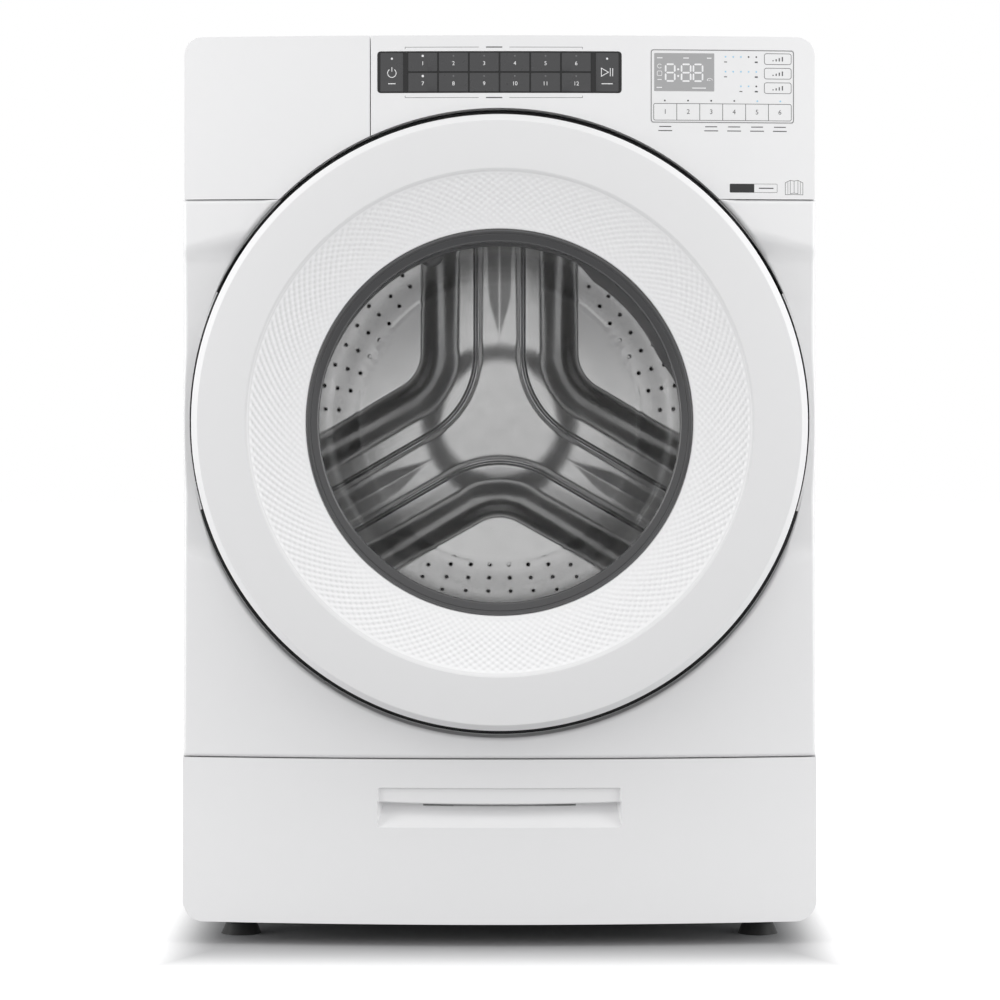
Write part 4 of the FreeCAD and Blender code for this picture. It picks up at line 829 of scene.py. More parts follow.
def handle_depth(z, across):
    """How far behind the panel's face the handle's surface lies at a height; across is 1 at the ends."""
    if z > LIP:
        edge = smooth_step((HANDLE_HIGH - z) / 1.6) * smooth_step((1 - across) * 60.0)
        under = smooth_step((LIP + 1.6 - z) / 1.6)
        return 2.6 * edge + 1.6 * under
    if across < SLOT_SHARE and LIP - SLOT_TALL < z <= LIP - 0.2:
        return SLOT_DEEP
    t = (z - HANDLE_LOW) / (LIP - HANDLE_LOW)
    deep = 24.0 - 6.0 * across ** 2
    return deep * t ** 0.9 if t > 0 else 0.0


def handle_sag(x, z):
    """The lip hangs a little lower in its middle."""
    near = smooth_step((HANDLE_HIGH - z) / 14.0) * smooth_step((z - HANDLE_LOW) / (LIP - HANDLE_LOW))
    return 2.0 * (1 - (x / HANDLE_HALF) ** 2) * near


def handle_heights():
    """Heights of the handle's rows from the top down, close together where its surface turns."""
    heights = [HANDLE_HIGH - 1.8 * k / 8 for k in range(9)] + [LIP + 12.6 - 11.0 * k / 8 for k in range(9)]
    heights += [LIP + 1.4 - 1.4 * k / 6 for k in range(7)]
    heights += [LIP - drop for drop in (0.01, 0.2, 0.21, SLOT_TALL - 0.01, SLOT_TALL)]
    return heights + [LIP - 4.1 - (LIP - 4.1 - HANDLE_LOW) * k / 30 for k in range(31)]


def handle_columns():
    """Places across the handle, close together at the slot's ends and at the handle's own."""
    slot = SLOT_SHARE * HANDLE_HALF
    columns = {round(-HANDLE_HALF + 2 * HANDLE_HALF * k / 120, 4) for k in range(121)}
    columns |= {sign * round(slot + step, 1) for sign in (-1, 1) for step in (-0.05, 0.05)}
    columns |= {sign * (HANDLE_HALF - 0.3 * k) for sign in (-1, 1) for k in range(8)}
    return sorted(columns)


class WASHER_OT_access_panel(bpy.types.Operator):
    """Build the tilting lower panel with its scooped handle"""

    bl_idname = "washer.access_panel"
    bl_label = "Access panel"

    def execute(self, context):
        self.build_plate()
        self.build_handle()
        return {"FINISHED"}

    def build_plate(self):
        low, high = ACCESS_LOW.z, ACCESS_HIGH.z
        outline = [(HALF, high), (-HALF, high)]
        for sign in (-1, 1):
            for k in range(15):
                t = math.radians(90 * k / 14)
                if sign > 0:
                    t = math.radians(90) - t
                outline.append((sign * (HALF - FLAP_CORNER * (1 - math.cos(t))),
                                low + FLAP_CORNER * (1 - math.sin(t))))
        scoop = rounded_outline(-HANDLE_HALF, HANDLE_LOW, HANDLE_HALF, HANDLE_HIGH, 4)
        bm = bowed_plate(outline, [scoop], bow, -ACCESS_HIGH.y)

        def in_opening(v):
            return abs(v.co.x) < HANDLE_HALF + 1 and HANDLE_LOW - 1 < v.co.z < HANDLE_HIGH + 1

        opening, sides, top = [], [], []
        for e in rims(bm, bow):
            if all(in_opening(v) for v in e.verts):
                opening.append(e)
            elif all(v.co.z < high - 1 for v in e.verts):
                sides.append(e)
            else:
                top.append(e)
        soften_edges(bm, top, 1.4, 4)
        soften_edges(bm, [e for e in opening if e.is_valid], 1.0, 4)
        soften_edges(bm, [e for e in sides if e.is_valid], 5.0, 6)
        match_bow(piece("access_moulding", settle("access_moulding", bm), "flap", "white_front", "white",
                        stands_for=["access_panel"]))

    def build_handle(self):
        columns = handle_columns()
        rows = []
        for z in handle_heights():
            row = []
            for x in columns:
                across = abs(x) / HANDLE_HALF
                deep = handle_depth(z, across)
                side = 1.0 if z > LIP else 1 - 0.045 * min(deep, 17.0) / 17.0
                row.append((x * side, -(bow(x) - 0.4 - deep), z - handle_sag(x, z)))
            # the side walls run forward again to the face
            ends = [(x, -(bow(HANDLE_HALF) - 0.4), z) for x in (-HANDLE_HALF, HANDLE_HALF)]
            rows.append([ends[0], *row, ends[1]])
        mesh = gather("handle", [(*lattice(rows), 0)])
        piece("handle_scoop", mesh, "flap", "white_front", "white", sharp=50)


# ---------------------------------------------------------------- door

DISH_EDGE = 267.7
DISH_INNER = TRIM_HIGH.x + 0.3
DISH_WIDE = DISH_EDGE - DISH_INNER
DIMPLE_STEPS = 6


def dish_height(r):
    """The dish's section, without its dimples, between the flat ring and the glass trim."""
    t = (DISH_EDGE - r) / DISH_WIDE
    return CREST_DOOR - 2.2 - 19.8 * (0.82 * t + 0.18 * (1 - (1 - t) ** 2))


def dimple_share(r):
    """How much of their depth the dimples have: none at the dish's edges, and less towards the glass."""
    t = (DISH_EDGE - r) / DISH_WIDE
    fade = smooth_step((DISH_EDGE - r - 1.0) / 3.0) * smooth_step((r - DISH_INNER - 2.0) / 5.0)
    return fade * (1.0 - 0.45 * smooth_step((t - 0.45) / 0.4))


class WASHER_OT_door_ring(bpy.types.Operator):
    """Build the door's white ring with its dimpled dish"""

    bl_idname = "washer.door_ring"
    bl_label = "Door ring"

    def execute(self, context):
        s = sizes()
        rim, outer, inner = RING_HIGH.x, DISH_EDGE, DISH_INNER
        front, back = CREST_DOOR, -RING_HIGH.y
        columns = round(2 * math.pi * 240 / (s.dimple_pitch / MM)) * DIMPLE_STEPS
        pitch = s.dimple_row / MM
        depth = s.dimple_depth / MM
        body = softened([
            (inner, front - 24.5, 0), (outer - 20, front - 11, 4), (outer + 1, front - 4.5, 4),
            (rim - 9, front - 2.5, 3), (rim - 2.5, front - 9.5, 3), (rim - 2.5, back, 0), (rim, back, 0.6),
            (rim, front - 8.5, 4.5), (rim - 6.7, front - 0.9, 2.0), (outer + 3.2, front, 0.6),
            (outer + 0.9, front - 1.1, 0.8), (outer, front - 2.2, 0.4),
        ], 1.0, 5, closed=False)
        dish = [outer - pitch / 4 * k for k in range(1, int(DISH_WIDE / pitch * 4))]
        section = [(r, f, 0) for r, f in body] + [(r, dish_height(r), 1) for r in dish]
        section += [(inner + 0.5, dish_height(inner) - 0.1, 0), (inner, dish_height(inner) - 1.0, 0)]
        rows = []
        for r, f, dimpled in section:
            deep = dimple_share(r) * depth if dimpled else 0.0
            across = math.cos(math.pi * (outer - r) / pitch)
            row = []
            for k in range(columns):
                a = 2 * math.pi * k / columns
                wave = math.cos(2 * math.pi * k / DIMPLE_STEPS) * across
                drop = deep * max(0.5 + 0.5 * wave, 0.0) ** 1.3
                row.append((r * math.cos(a), -(f - drop), DOOR_Z + r * math.sin(a)))
            rows.append(row)
        # dish faces take the lighter copy of the ring's plastic: painted light
        kinds = [dimpled for r, f, dimpled in section for k in range(columns)]
        mesh = gather("door_ring_skin", [(*lattice(rows, round_columns=True, round_rows=True), kinds)])
        piece("door_moulding", mesh, "door", "white_front", "white_ring", "painted_light_dish", sharp=50,
              stands_for=["door_ring"])
        return {"FINISHED"}


class WASHER_OT_door_glass(bpy.types.Operator):
    """Build the dark trim ring and the pressed glass bowl"""

    bl_idname = "washer.door_glass"
    bl_label = "Door glass"

    def execute(self, context):
        outer, bore = TRIM_HIGH.x, 193.0
        face = -TRIM_LOW.y
        section = softened([
            (outer, face - 9.4, 0), (outer, face - 0.9, 0.6), (outer - 2.2, face, 0.7),
            (outer - 4.0, face - 0.3, 0.3), (outer - 4.6, face - 1.0, 0.2), (outer - 5.2, face - 0.5, 0.3),
            (bore + 1.5, face - 2.0, 0.9), (bore, face - 3.4, 0.8), (bore, face - 9.4, 0),
        ], 0.5, 4)
        mesh = turned("glass_trim_skin", section, DOOR_Z)
        piece("trim_ring", mesh, "door", "trim_dark", "trim", stands_for=["glass_trim"])
        front, floor = -GLASS_LOW.y, -GLASS_HIGH.y
        wall = 5.0
        section = softened([
            (0.01, floor, 0), (152, floor, 17), (168, floor + 20, 20), (182, front - wall - 4, 7),
            (188, front - wall, 4), (203, front - wall, 1), (203, front, 1), (185, front, 5),
            (177.5, front - wall - 1, 7), (163, floor + 21, 22), (149, floor + wall, 15),
            (0.01, floor + wall, 0),
        ], 1.0, 10)
        mesh = turned("glass_bowl_skin", section, DOOR_Z)
        piece("glass_bowl", mesh, "door", "bowl_glass", "glass", sharp=60, stands_for=["door_glass"])
        return {"FINISHED"}


class WASHER_OT_gasket(bpy.types.Operator):
    """Build the folded rubber bellows between the front panel and the tub"""

    bl_idname = "washer.gasket"
    bl_label = "Door gasket"

    def execute(self, context):
        front, rear = -GASKET_LOW.y, -GASKET_HIGH.y
        section = softened([
            (197, front - 3, 1), (222, front - 3, 2), (220, front - 21, 3), (232, front - 27, 3),
            (232, front - 31, 3), (208, front - 36, 3), (207.5, rear, 0.4), (211.5, rear, 0.4),
            (212, front - 39, 3), (GASKET_HIGH.x, front - 33.5, 3), (GASKET_HIGH.x, front - 24, 3),
            (223.6, front - 19, 3), (225, front - 3.4, 1), (233, front - 3.4, 1), (232, front, 1.2),
            (198, front, 1.4),
        ], 1.0, 5)
        rows = []
        for k in range(240):
            a = 2 * math.pi * k / 240
            lean = smooth_step((math.degrees(a) - 12) / 14) * smooth_step((66 - math.degrees(a)) / 10)
            row = []
            for r, f in section:
                r -= 9.0 * lean * smooth_step((206 - r) / 6) * smooth_step((f - front + 12) / 6)
                row.append((r * math.cos(a), -f, DRUM_Z + r * math.sin(a)))
            rows.append(row)
        bellows = lattice(rows, round_columns=True, round_rows=True)
        mesh = gather("gasket_skin", [(*bellows, 0), (*nozzle(front), 0)])
        made = piece("gasket_bellows", mesh, None, "gasket_grey", "gasket", stands_for=["door_gasket"])
        # it stretches from behind its lip to where it grips the tub
        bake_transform(made)
        return {"FINISHED"}


def nozzle(front):
    """The rounded spray nozzle moulded at the top left of the gasket."""
    x, z = -74.5, 747.0
    profile = softened([
        (0.01, front - 1.5, 0), (10, front - 1.5, 5), (14, front - 9, 4), (14, front - 20, 0),
    ], 1, 4, closed=False)
    rows = []
    for k in range(32):
        a = 2 * math.pi * k / 32
        rows.append([(x + r * math.cos(a), -f, z + r * math.sin(a)) for r, f in profile])
    return lattice(rows, round_rows=True)


# ---------------------------------------------------------------- drum

WALL = 1.6

# the star's arms are twice STAR_HALF wide, and a round of STAR_ROUND joins each to the next
STAR_HALF = 32.0
STAR_ROUND = 110.0
ARMS = (90, 210, 330)
VALLEYS = (30, 150, 270)

# a valley's sides lean this far from its middle line, and their round's centre is VALLEY_FAR from the axis
VALLEY_LEAN = math.radians(60)
VALLEY_FAR = (STAR_HALF + STAR_ROUND) / math.sin(VALLEY_LEAN)

# drain holes stand in eight spokes in each valley, and each spoke from the outermost in has its own start
SPOKES = 8
SPOKE_TURN = 7.5
SPOKE_STARTS = (197.0, 186.0, 180.0, 177.0)
HOLE_PITCH = 16.2


def valley_gap(x, z):
    """Distance from the nearest valley's outline, below zero inside the valley."""
    nearest = math.inf
    for turn in VALLEYS:
        a = math.radians(turn)
        u = x * math.cos(a) + z * math.sin(a) - VALLEY_FAR
        v = abs(-x * math.sin(a) + z * math.cos(a))
        along = u * math.cos(VALLEY_LEAN) + v * math.sin(VALLEY_LEAN)
        away = -u * math.sin(VALLEY_LEAN) + v * math.cos(VALLEY_LEAN)
        gap = math.hypot(u, v) if along < 0 else away
        nearest = min(nearest, gap - STAR_ROUND)
    return nearest


def arm_place(x, z):
    """How far out along the nearest arm a spot lies, and how far off the arm's middle line."""
    places = []
    for turn in ARMS:
        c, s = math.cos(math.radians(turn)), math.sin(math.radians(turn))
        places.append((x * c + z * s, abs(-x * s + z * c)))
    return max(places)


def star_height(x, z):
    """How far forward of its rim the drum's back stands: star plateau, bead, stepped flank, valley floor."""
    gap = valley_gap(x, z)
    r = math.hypot(x, z)
    hub = 3.2 * (1 - smooth_step((r - 64.0) / 36.0))
    return hub + (arm_height(x, z, gap) if gap >= 0 else valley_height(r, -gap))


def arm_height(x, z, gap):
    """The plateau: a bead along the outline, flat ground inside it, and a trough that widens outwards."""
    bead = sizes().bead_width / MM
    along, off = arm_place(x, z)
    out = smooth_step((along - 84.0) / 80.0)
    trough = 0.12 * max(15.0 * out - math.hypot(off, 0.9 * out), 0.0)
    foot = 1.3 * (1 - smooth_step((gap - bead) / 6.0)) * smooth_step((off - 12.0) / 4.0)
    ridge = 1.7 * math.sin(math.pi * min(gap / bead, 1.0)) ** 2
    return -0.1 - trough - foot + ridge


def valley_height(r, inside):
    """The valley: two steps down from the outline, then a floor that is deepest at its inner end."""
    deep = BACK_HIGH.y - BACK_LOW.y - 4.0
    rim = smooth_step((r - (BACK_HIGH.x - 16.0)) / 10.0)
    ledge = smooth_step(inside / 20.0)
    first = smooth_step((inside - 16.0) / 26.0)
    second = smooth_step((inside - 37.0) / 28.0)
    dish = 1.0 - 0.9 * smooth_step((r - 100.0) / 140.0)
    floor = dish * smooth_step((inside - 40.0) / 26.0)
    ring = 0.4 * math.sin(math.pi * min(max((r - 170.0) / 6.0, 0.0), 1.0)) ** 2
    ring *= smooth_step((inside - 12.0) / 24.0)
    fall = deep * (0.02 * ledge + 0.34 * first + 0.18 * second + 0.46 * floor)
    return -1.4 - (fall - ring) * (1 - rim)


def star_point(x, z):
    return (x, BACK_LOW.y - star_height(x, z), DRUM_Z + z)


def star_lines():
    """Lines of spots square to one side of a valley's outline, from the arm's middle to the valley's."""
    rim = BACK_HIGH.x
    levels = [55.0 - 2.0 * k for k in range(23)] + [10.0 - 0.5 * k for k in range(35)]
    levels += [-8.5 - 1.5 * k for k in range(60)] + [-100.0 - 6.0 * k for k in range(23)]
    lines = []
    for k in range(37):
        a = math.radians(30) * k / 36
        highest = (STAR_HALF + STAR_ROUND) / math.sin(VALLEY_LEAN + a) - STAR_ROUND
        reach = [STAR_ROUND + min(max(gap, -STAR_ROUND), highest) for gap in levels]
        lines.append([(VALLEY_FAR - t * math.cos(a), t * math.sin(a)) for t in reach])
    first = math.asin(VALLEY_FAR * math.cos(VALLEY_LEAN) / rim)
    turns = [first + (math.pi / 2 - first) * k / 90 for k in range(1, 91)] + [math.radians(30)]
    c, s = math.cos(VALLEY_LEAN), math.sin(VALLEY_LEAN)
    for turn in sorted(turns):
        along = rim * math.sin(turn)
        lowest = STAR_HALF - min(along * math.tan(VALLEY_LEAN), rim * math.cos(turn))
        offs = [STAR_HALF - min(max(gap, lowest), STAR_HALF) for gap in levels]
        lines.append([(along * c + off * s, along * s - off * c) for off in offs])
    return lines


class WASHER_OT_drum_back(bpy.types.Operator):
    """Build the pressed drum back with its three-armed star and drain holes"""

    bl_idname = "washer.drum_back"
    bl_label = "Drum back"

    def execute(self, context):
        self.build_star()
        self.build_holes()
        return {"FINISHED"}

    def build_star(self):
        points, faces, index = [], [], {}

        def spot(x, z):
            key = (round(x, 2), round(z, 2))
            if key not in index:
                index[key] = len(points)
                points.append(star_point(x, z))
            return index[key]

        lines = star_lines()
        for turn in VALLEYS:
            c, s = math.cos(math.radians(turn)), math.sin(math.radians(turn))
            for side in (1, -1):
                grid = [[spot(u * c - side * v * s, u * s + side * v * c) for u, v in line] for line in lines]
                for one, two in zip(grid, grid[1:]):
                    for k in range(len(one) - 1):
                        ring = list(dict.fromkeys((one[k], one[k + 1], two[k + 1], two[k])))
                        if len(ring) > 2:
                            faces.append(tuple(ring[::side]))
        # a short skirt runs back from the rim
        ends = [k for k, (x, y, z) in enumerate(points) if math.hypot(x, z - DRUM_Z) > BACK_HIGH.x - 0.02]
        ends.sort(key=lambda k: math.atan2(points[k][2] - DRUM_Z, points[k][0]))
        base = len(points)
        points += [(points[k][0], BACK_HIGH.y - 0.2, points[k][2]) for k in ends]
        count = len(ends)
        faces += [(ends[k], base + k, base + (k + 1) % count, ends[(k + 1) % count]) for k in range(count)]
        mesh = mesh_of("drum_back_skin", points, faces)
        piece("drum_star", mesh, "drum", "stainless", "star", sharp=70, stands_for=["drum_back"])

    def build_holes(self):
        parts = []
        radius = sizes().drum_hole / MM / 2
        for turn in VALLEYS:
            for spoke in range(SPOKES):
                a = math.radians(turn + (spoke - (SPOKES - 1) / 2) * SPOKE_TURN)
                start = SPOKE_STARTS[min(spoke, SPOKES - 1 - spoke)]
                for k in range(int((BACK_HIGH.x - 14 - start) / HOLE_PITCH) + 1):
                    r = start + HOLE_PITCH * k
                    parts.append(cup(r * math.cos(a), r * math.sin(a), radius))
        mesh = gather("drum_holes_skin", parts)
        piece("drum_back_holes", mesh, "drum", "stainless", "star", "hole", sharp=40)


def cup(x, z, radius):
    """A pierced hole in the drum's back: a small raised lip round a bore whose wall and closing cap are near
    black, painted shade.
    """
    points, faces, kinds = [], [], []
    around = 14
    for r, lift in ((radius + 1.0, 0.02), (radius + 0.25, 0.28), (radius, 0.22), (radius * 0.92, 0.05)):
        for k in range(around):
            a = 2 * math.pi * k / around
            px, py, pz = star_point(x + r * math.cos(a), z + r * math.sin(a))
            points.append((px, py - lift, pz))
    # the bore's wall and its cap take the near-black hole finish: painted shade
    for ring in range(3):
        for k in range(around):
            a, b = ring * around + k, ring * around + (k + 1) % around
            faces.append((a, b, b + around, a + around))
            kinds.append(0 if ring < 2 else 1)
    faces.append(tuple(3 * around + k for k in range(around)))
    kinds.append(1)
    return points, faces, kinds


class WASHER_OT_drum_shell(bpy.types.Operator):
    """Build the pierced drum wall with its rolled mouth, and the three lifters"""

    bl_idname = "washer.drum_shell"
    bl_label = "Drum shell"

    def execute(self, context):
        r = SHELL_HIGH.x
        front, rear = -SHELL_LOW.y, -SHELL_HIGH.y
        mouth = 201.0
        section = softened([
            (r, rear + 0.2, 0), (r - WALL, rear + 0.2, 0), (r - WALL, front - 25, 6), (r - 21, front - 7, 6),
            (mouth + 5, front - 2, 3), (mouth + 1.6, front - 7, 1), (mouth, front - 5, 0.8),
            (mouth + 4, front, 3), (r - 20, front - 5, 6), (r, front - 25, 6),
        ], 1.0, 5)
        mesh = turned("drum_shell_skin", section, DRUM_Z)
        piece("drum_wall", mesh, "drum", "stainless", "drum", stands_for=["drum_shell"])
        parts = []
        around = 66
        for row in range(24):
            for column in range(around):
                a = 2 * math.pi * (column + (row % 2) / 2) / around
                from_lifter = abs((math.degrees(a) - ARMS[0] + 60) % 120 - 60)
                if from_lifter >= 10:
                    parts.append(wall_hole(a, rear + 36 + 16.5 * row, r - WALL, 2.0))
        mesh = gather("wall_holes_skin", parts)
        piece("drum_wall_holes", mesh, "drum", "stainless", "drum", "hole", sharp=40)
        lifters()
        return {"FINISHED"}


def wall_hole(angle, forward, wall, radius):
    """A pierced hole in the drum's wall, seen from inside; its bore's wall and closing cap are near black,
    painted shade.
    """
    points, faces, kinds = [], [], []
    around = 8
    for size, lift in ((radius + 0.8, 0.03), (radius, 0.3), (radius * 0.9, 0.06)):
        for k in range(around):
            t = 2 * math.pi * k / around
            a = angle + size * math.cos(t) / wall
            r = wall - lift
            points.append((r * math.cos(a), -(forward + size * math.sin(t)), DRUM_Z + r * math.sin(a)))
    # the bore's wall and its cap take the near-black hole finish: painted shade
    for ring in range(2):
        for k in range(around):
            a, b = ring * around + k, ring * around + (k + 1) % around
            faces.append((b, a, a + around, b + around))
            kinds.append(ring)
    faces.append(tuple(2 * around + k for k in range(around))[::-1])
    kinds.append(1)
    return points, faces, kinds


def lifters():
    """Three rounded lifters, narrowing towards their ends."""
    low, high = span("drum_lifters")
    near, far = -high.y, -low.y
    wall = SHELL_HIGH.x - WALL - 0.3
    parts = []
    for turn in ARMS:
        a = math.radians(turn)
        rows = []
        for k in range(33):
            t = k / 32
            end = min(t, 1 - t) * 2
            plump = math.sqrt(max(1 - (1 - min(end * 4.5, 1)) ** 2, 0.0))
            tall = 38 * (0.12 + 0.88 * plump)
            wide = 35 * (0.72 + 0.28 * plump)
            row = []
            for j in range(25):
                u = -1 + 2 * j / 24
                across = wide * u
                rise = tall * (1 - smooth_step((abs(u) - 0.22) / 0.78)) ** 0.8
                foot = math.sqrt(wall * wall - across * across)
                out = foot - rise
                row.append((across * math.sin(a) + out * math.cos(a), -(near + (far - near) * t),
                            DRUM_Z - across * math.cos(a) + out * math.sin(a)))
            rows.append(row)
        parts.append((*lattice(rows), 0))
    mesh = gather("lifters_skin", parts)
    piece("lifter_set", mesh, "drum", "grey_plastic", "lifter", sharp=50, stands_for=["drum_lifters"])


# ---------------------------------------------------------------- springs and hose


def wire(path, radius, sides=8):
    """A round wire along a path of points."""
    rows = []
    side = Vector((1, 0, 0))
    last = len(path) - 1
    for i, p in enumerate(path):
        way = (Vector(path[min(i + 1, last)]) - Vector(path[max(i - 1, 0)])).normalized()
        side = (side - way * side.dot(way)).normalized()
        other = way.cross(side)
        row = []
        for k in range(sides):
            a = 2 * math.pi * k / sides
            row.append(tuple(Vector(p) + (side * math.cos(a) + other * math.sin(a)) * radius))
        rows.append(row)
    points, faces = lattice(rows, round_columns=True)
    faces += [tuple(range(sides))[::-1], tuple(last * sides + k for k in range(sides))]
    return points, faces


SPRING_TAIL = 42.0
SPRING_HOOK = 30.0
SPRING_TURNS = 30
SPRING_WIRE = 1.8


def straight(x, y, low, high):
    """Seven spots up a straight end of a spring."""
    return [(x, y, low + (high - low) * k / 6) for k in range(7)]


def spring_path(x, y, low, high, reach, steps=20):
    """A tension spring's wire: a straight tail, a close coil and a straight hook."""
    bottom, top = low + SPRING_TAIL, high - SPRING_HOOK
    path = straight(x, y, low, bottom - 4.0)
    for k in range(SPRING_TURNS * steps + 1):
        t = k / (SPRING_TURNS * steps)
        a = 2 * math.pi * SPRING_TURNS * t
        r = reach * min(1.0, 2 * SPRING_TURNS * min(t, 1 - t))
        path.append((x + r * math.cos(a), y + r * math.sin(a), bottom + (top - bottom) * t))
    return path + straight(x, y, top + 4.0, high)


def build_springs():
    """The tub's two suspension springs, stretched between their hooks' ends."""
    low, high = span("suspension_springs")
    middle, coil = (low.y + high.y) / 2, (high.y - low.y) / 2
    reach = coil - SPRING_WIRE - 0.1
    parts = [(*wire(spring_path(x, middle, low.z, high.z, reach), SPRING_WIRE), 0)
             for x in (low.x + coil, high.x - coil)]
    made = piece("coil_springs", gather("coil_springs", parts), None, "zinc_steel", "zinc_steel", sharp=60,
                 stands_for=["suspension_springs"])
    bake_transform(made)


def build_hose():
    """The folded hose between the tub's sump and the pump, stretched between its two plain cuffs."""
    low, high = span("sump_hose")
    x, y, ridge = (low.x + high.x) / 2, (low.y + high.y) / 2, (high.x - low.x) / 2
    neck, bore, cuff, folds = ridge - 5.0, ridge - 7.5, 11.0, 8
    pitch = (high.z - low.z - 2 * cuff) / folds
    section = [(neck, low.z, 0)]
    for fold in range(folds):
        z = low.z + cuff + pitch * fold
        section += [(neck, z, 1.5), (ridge, z + pitch * 0.3, 2), (ridge, z + pitch * 0.6, 2),
                    (neck, z + pitch * 0.9, 1.5)]
    section += [(neck, high.z, 0.4), (bore, high.z, 0.4), (bore, low.z, 0.4)]
    section = softened(section, 1.0, 4)
    rows = []
    for k in range(96):
        a = 2 * math.pi * k / 96
        rows.append([(x + r * math.cos(a), y + r * math.sin(a), z) for r, z in section])
    mesh = gather("sump_bellows", [(*lattice(rows, round_columns=True, round_rows=True), 0)])
    made = piece("sump_bellows", mesh, None, "gasket_grey", "gasket", sharp=60, stands_for=["sump_hose"])
    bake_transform(made)


class WASHER_OT_hangers(bpy.types.Operator):
    """Build the suspension springs and the sump hose"""

    bl_idname = "washer.hangers"
    bl_label = "Springs and sump hose"

    def execute(self, context):
        build_springs()
        build_hose()
        return {"FINISHED"}


# ---------------------------------------------------------------- keypad and display


KEYS = ("key_power", *(f"key_{k}" for k in range(1, 13)), "key_start")


def strip(points, width, ink, longest=3.0):
    """A thin printed line along (x, z) points, square at its corners, at the height that ink gives."""
    path = []
    for start, stop in zip(points, points[1:]):
        steps = max(math.ceil(math.dist(start, stop) / longest), 1)
        path += [(start[0] + (stop[0] - start[0]) * k / steps, start[1] + (stop[1] - start[1]) * k / steps)
                 for k in range(steps)]
    path.append(points[-1])
    ring = points[0] == points[-1]
    rows = []
    last = len(path) - 1
    for i, p in enumerate(path):
        before = path[i - 1] if i else path[-2] if ring else None
        after = path[i + 1] if i < last else path[1] if ring else None
        into = (Vector(p) - Vector(before)).normalized() if before else None
        out = (Vector(after) - Vector(p)).normalized() if after else None
        way = ((into or out) + (out or into)).normalized()
        bend = max(way.dot(out or into), 0.35)
        side = Vector((-way.y, way.x)) * width / 2 / bend
        row = []
        for sign in (-1, 1):
            x, z = p[0] + sign * side.x, p[1] + sign * side.y
            row.append((x, -ink(x), z))
        rows.append(row)
    return lattice(rows)


def patch(outline, ink):
    """A filled printed shape."""
    triangles = tessellate_polygon([[Vector((x, 0, z)) for x, z in outline]])
    return [(x, -ink(x), z) for x, z in outline], [tuple(t) for t in triangles]


def bar(left, low, right, high, ink):
    """A filled printed rectangle that follows the bow."""
    wide = max(int((right - left) / 2), 2)
    rows = []
    for z in (low, high):
        xs = [left + (right - left) * k / wide for k in range(wide + 1)]
        rows.append([(x, -ink(x), z) for x in xs])
    return lattice(rows)


def dot(x, z, radius, ink):
    """A small round lamp or spot."""
    return patch([(x + radius * math.cos(2 * math.pi * k / 16), z + radius * math.sin(2 * math.pi * k / 16))
                  for k in range(16)], ink)


def box_line(left, low, right, high, radius, width, ink, steps=6):
    """A printed line round a rectangle with round corners."""
    outline = rounded_outline(left, low, right, high, radius, steps)
    return strip([*outline, outline[0]], width, ink)


def dash(x, z, wide, width, ink):
    """A short level line centred at x, z."""
    return strip([(x - wide / 2, z), (x + wide / 2, z)], width, ink)


def arc(x, z, radius, start, stop, steps=24):
    """Points along an arc, its ends given in degrees."""
    turns = [math.radians(start + (stop - start) * k / steps) for k in range(steps + 1)]
    return [(x + radius * math.cos(a), z + radius * math.sin(a)) for a in turns]


def number(text, x, z, height, ink):
    """Plain figures centred at x, z."""
    curve = bpy.data.curves.new("figure", "FONT")
    curve.body = text
    curve.size = 1.0
    curve.resolution_u = 4
    curve.align_x = "CENTER"
    curve.align_y = "CENTER"
    made = bpy.data.objects.new("figure", curve)
    bpy.context.scene.collection.objects.link(made)
    bpy.context.view_layer.update()
    mesh = bpy.data.meshes.new_from_object(made.evaluated_get(bpy.context.evaluated_depsgraph_get()))
    tall = max(v.co.y for v in mesh.vertices) - min(v.co.y for v in mesh.vertices)
    size = height / tall
    points = []
    for v in mesh.vertices:
        across = x + v.co.x * size
        points.append((across, -ink(across), z + v.co.y * size))
    faces = [tuple(p.vertices) for p in mesh.polygons]
    bpy.data.objects.remove(made)
    bpy.data.curves.remove(curve)
    bpy.data.meshes.remove(mesh)
    return points, faces


KEY_LINE = 0.75


def power_marks(x, z, ink):
    """The power sign, with a lamp over it and a bar under it."""
    return [strip(arc(x, z - 1.0, 4.6, 125, 415, 30), KEY_LINE, ink),
            strip([(x, z + 0.6), (x, z + 5.4)], KEY_LINE, ink),
            dash(x, z - 12.4, 8, 0.9, ink), dot(x, z + 14.5, 1.15, ink)]


def start_marks(x, z, ink):
    """The start and pause sign, with a lamp over it and a bar under it."""
    corners = [(x - 6.2, z - 4.4), (x + 1.4, z), (x - 6.2, z + 4.4), (x - 6.2, z - 4.4)]
    pauses = [strip([(x + side, z - 4.4), (x + side, z + 4.4)], KEY_LINE, ink) for side in (3.4, 6.0)]
    return [strip(corners, KEY_LINE, ink), *pauses,
            dash(x, z - 12.4, 12, 0.9, ink), dot(x, z + 14.5, 1.15, ink)]


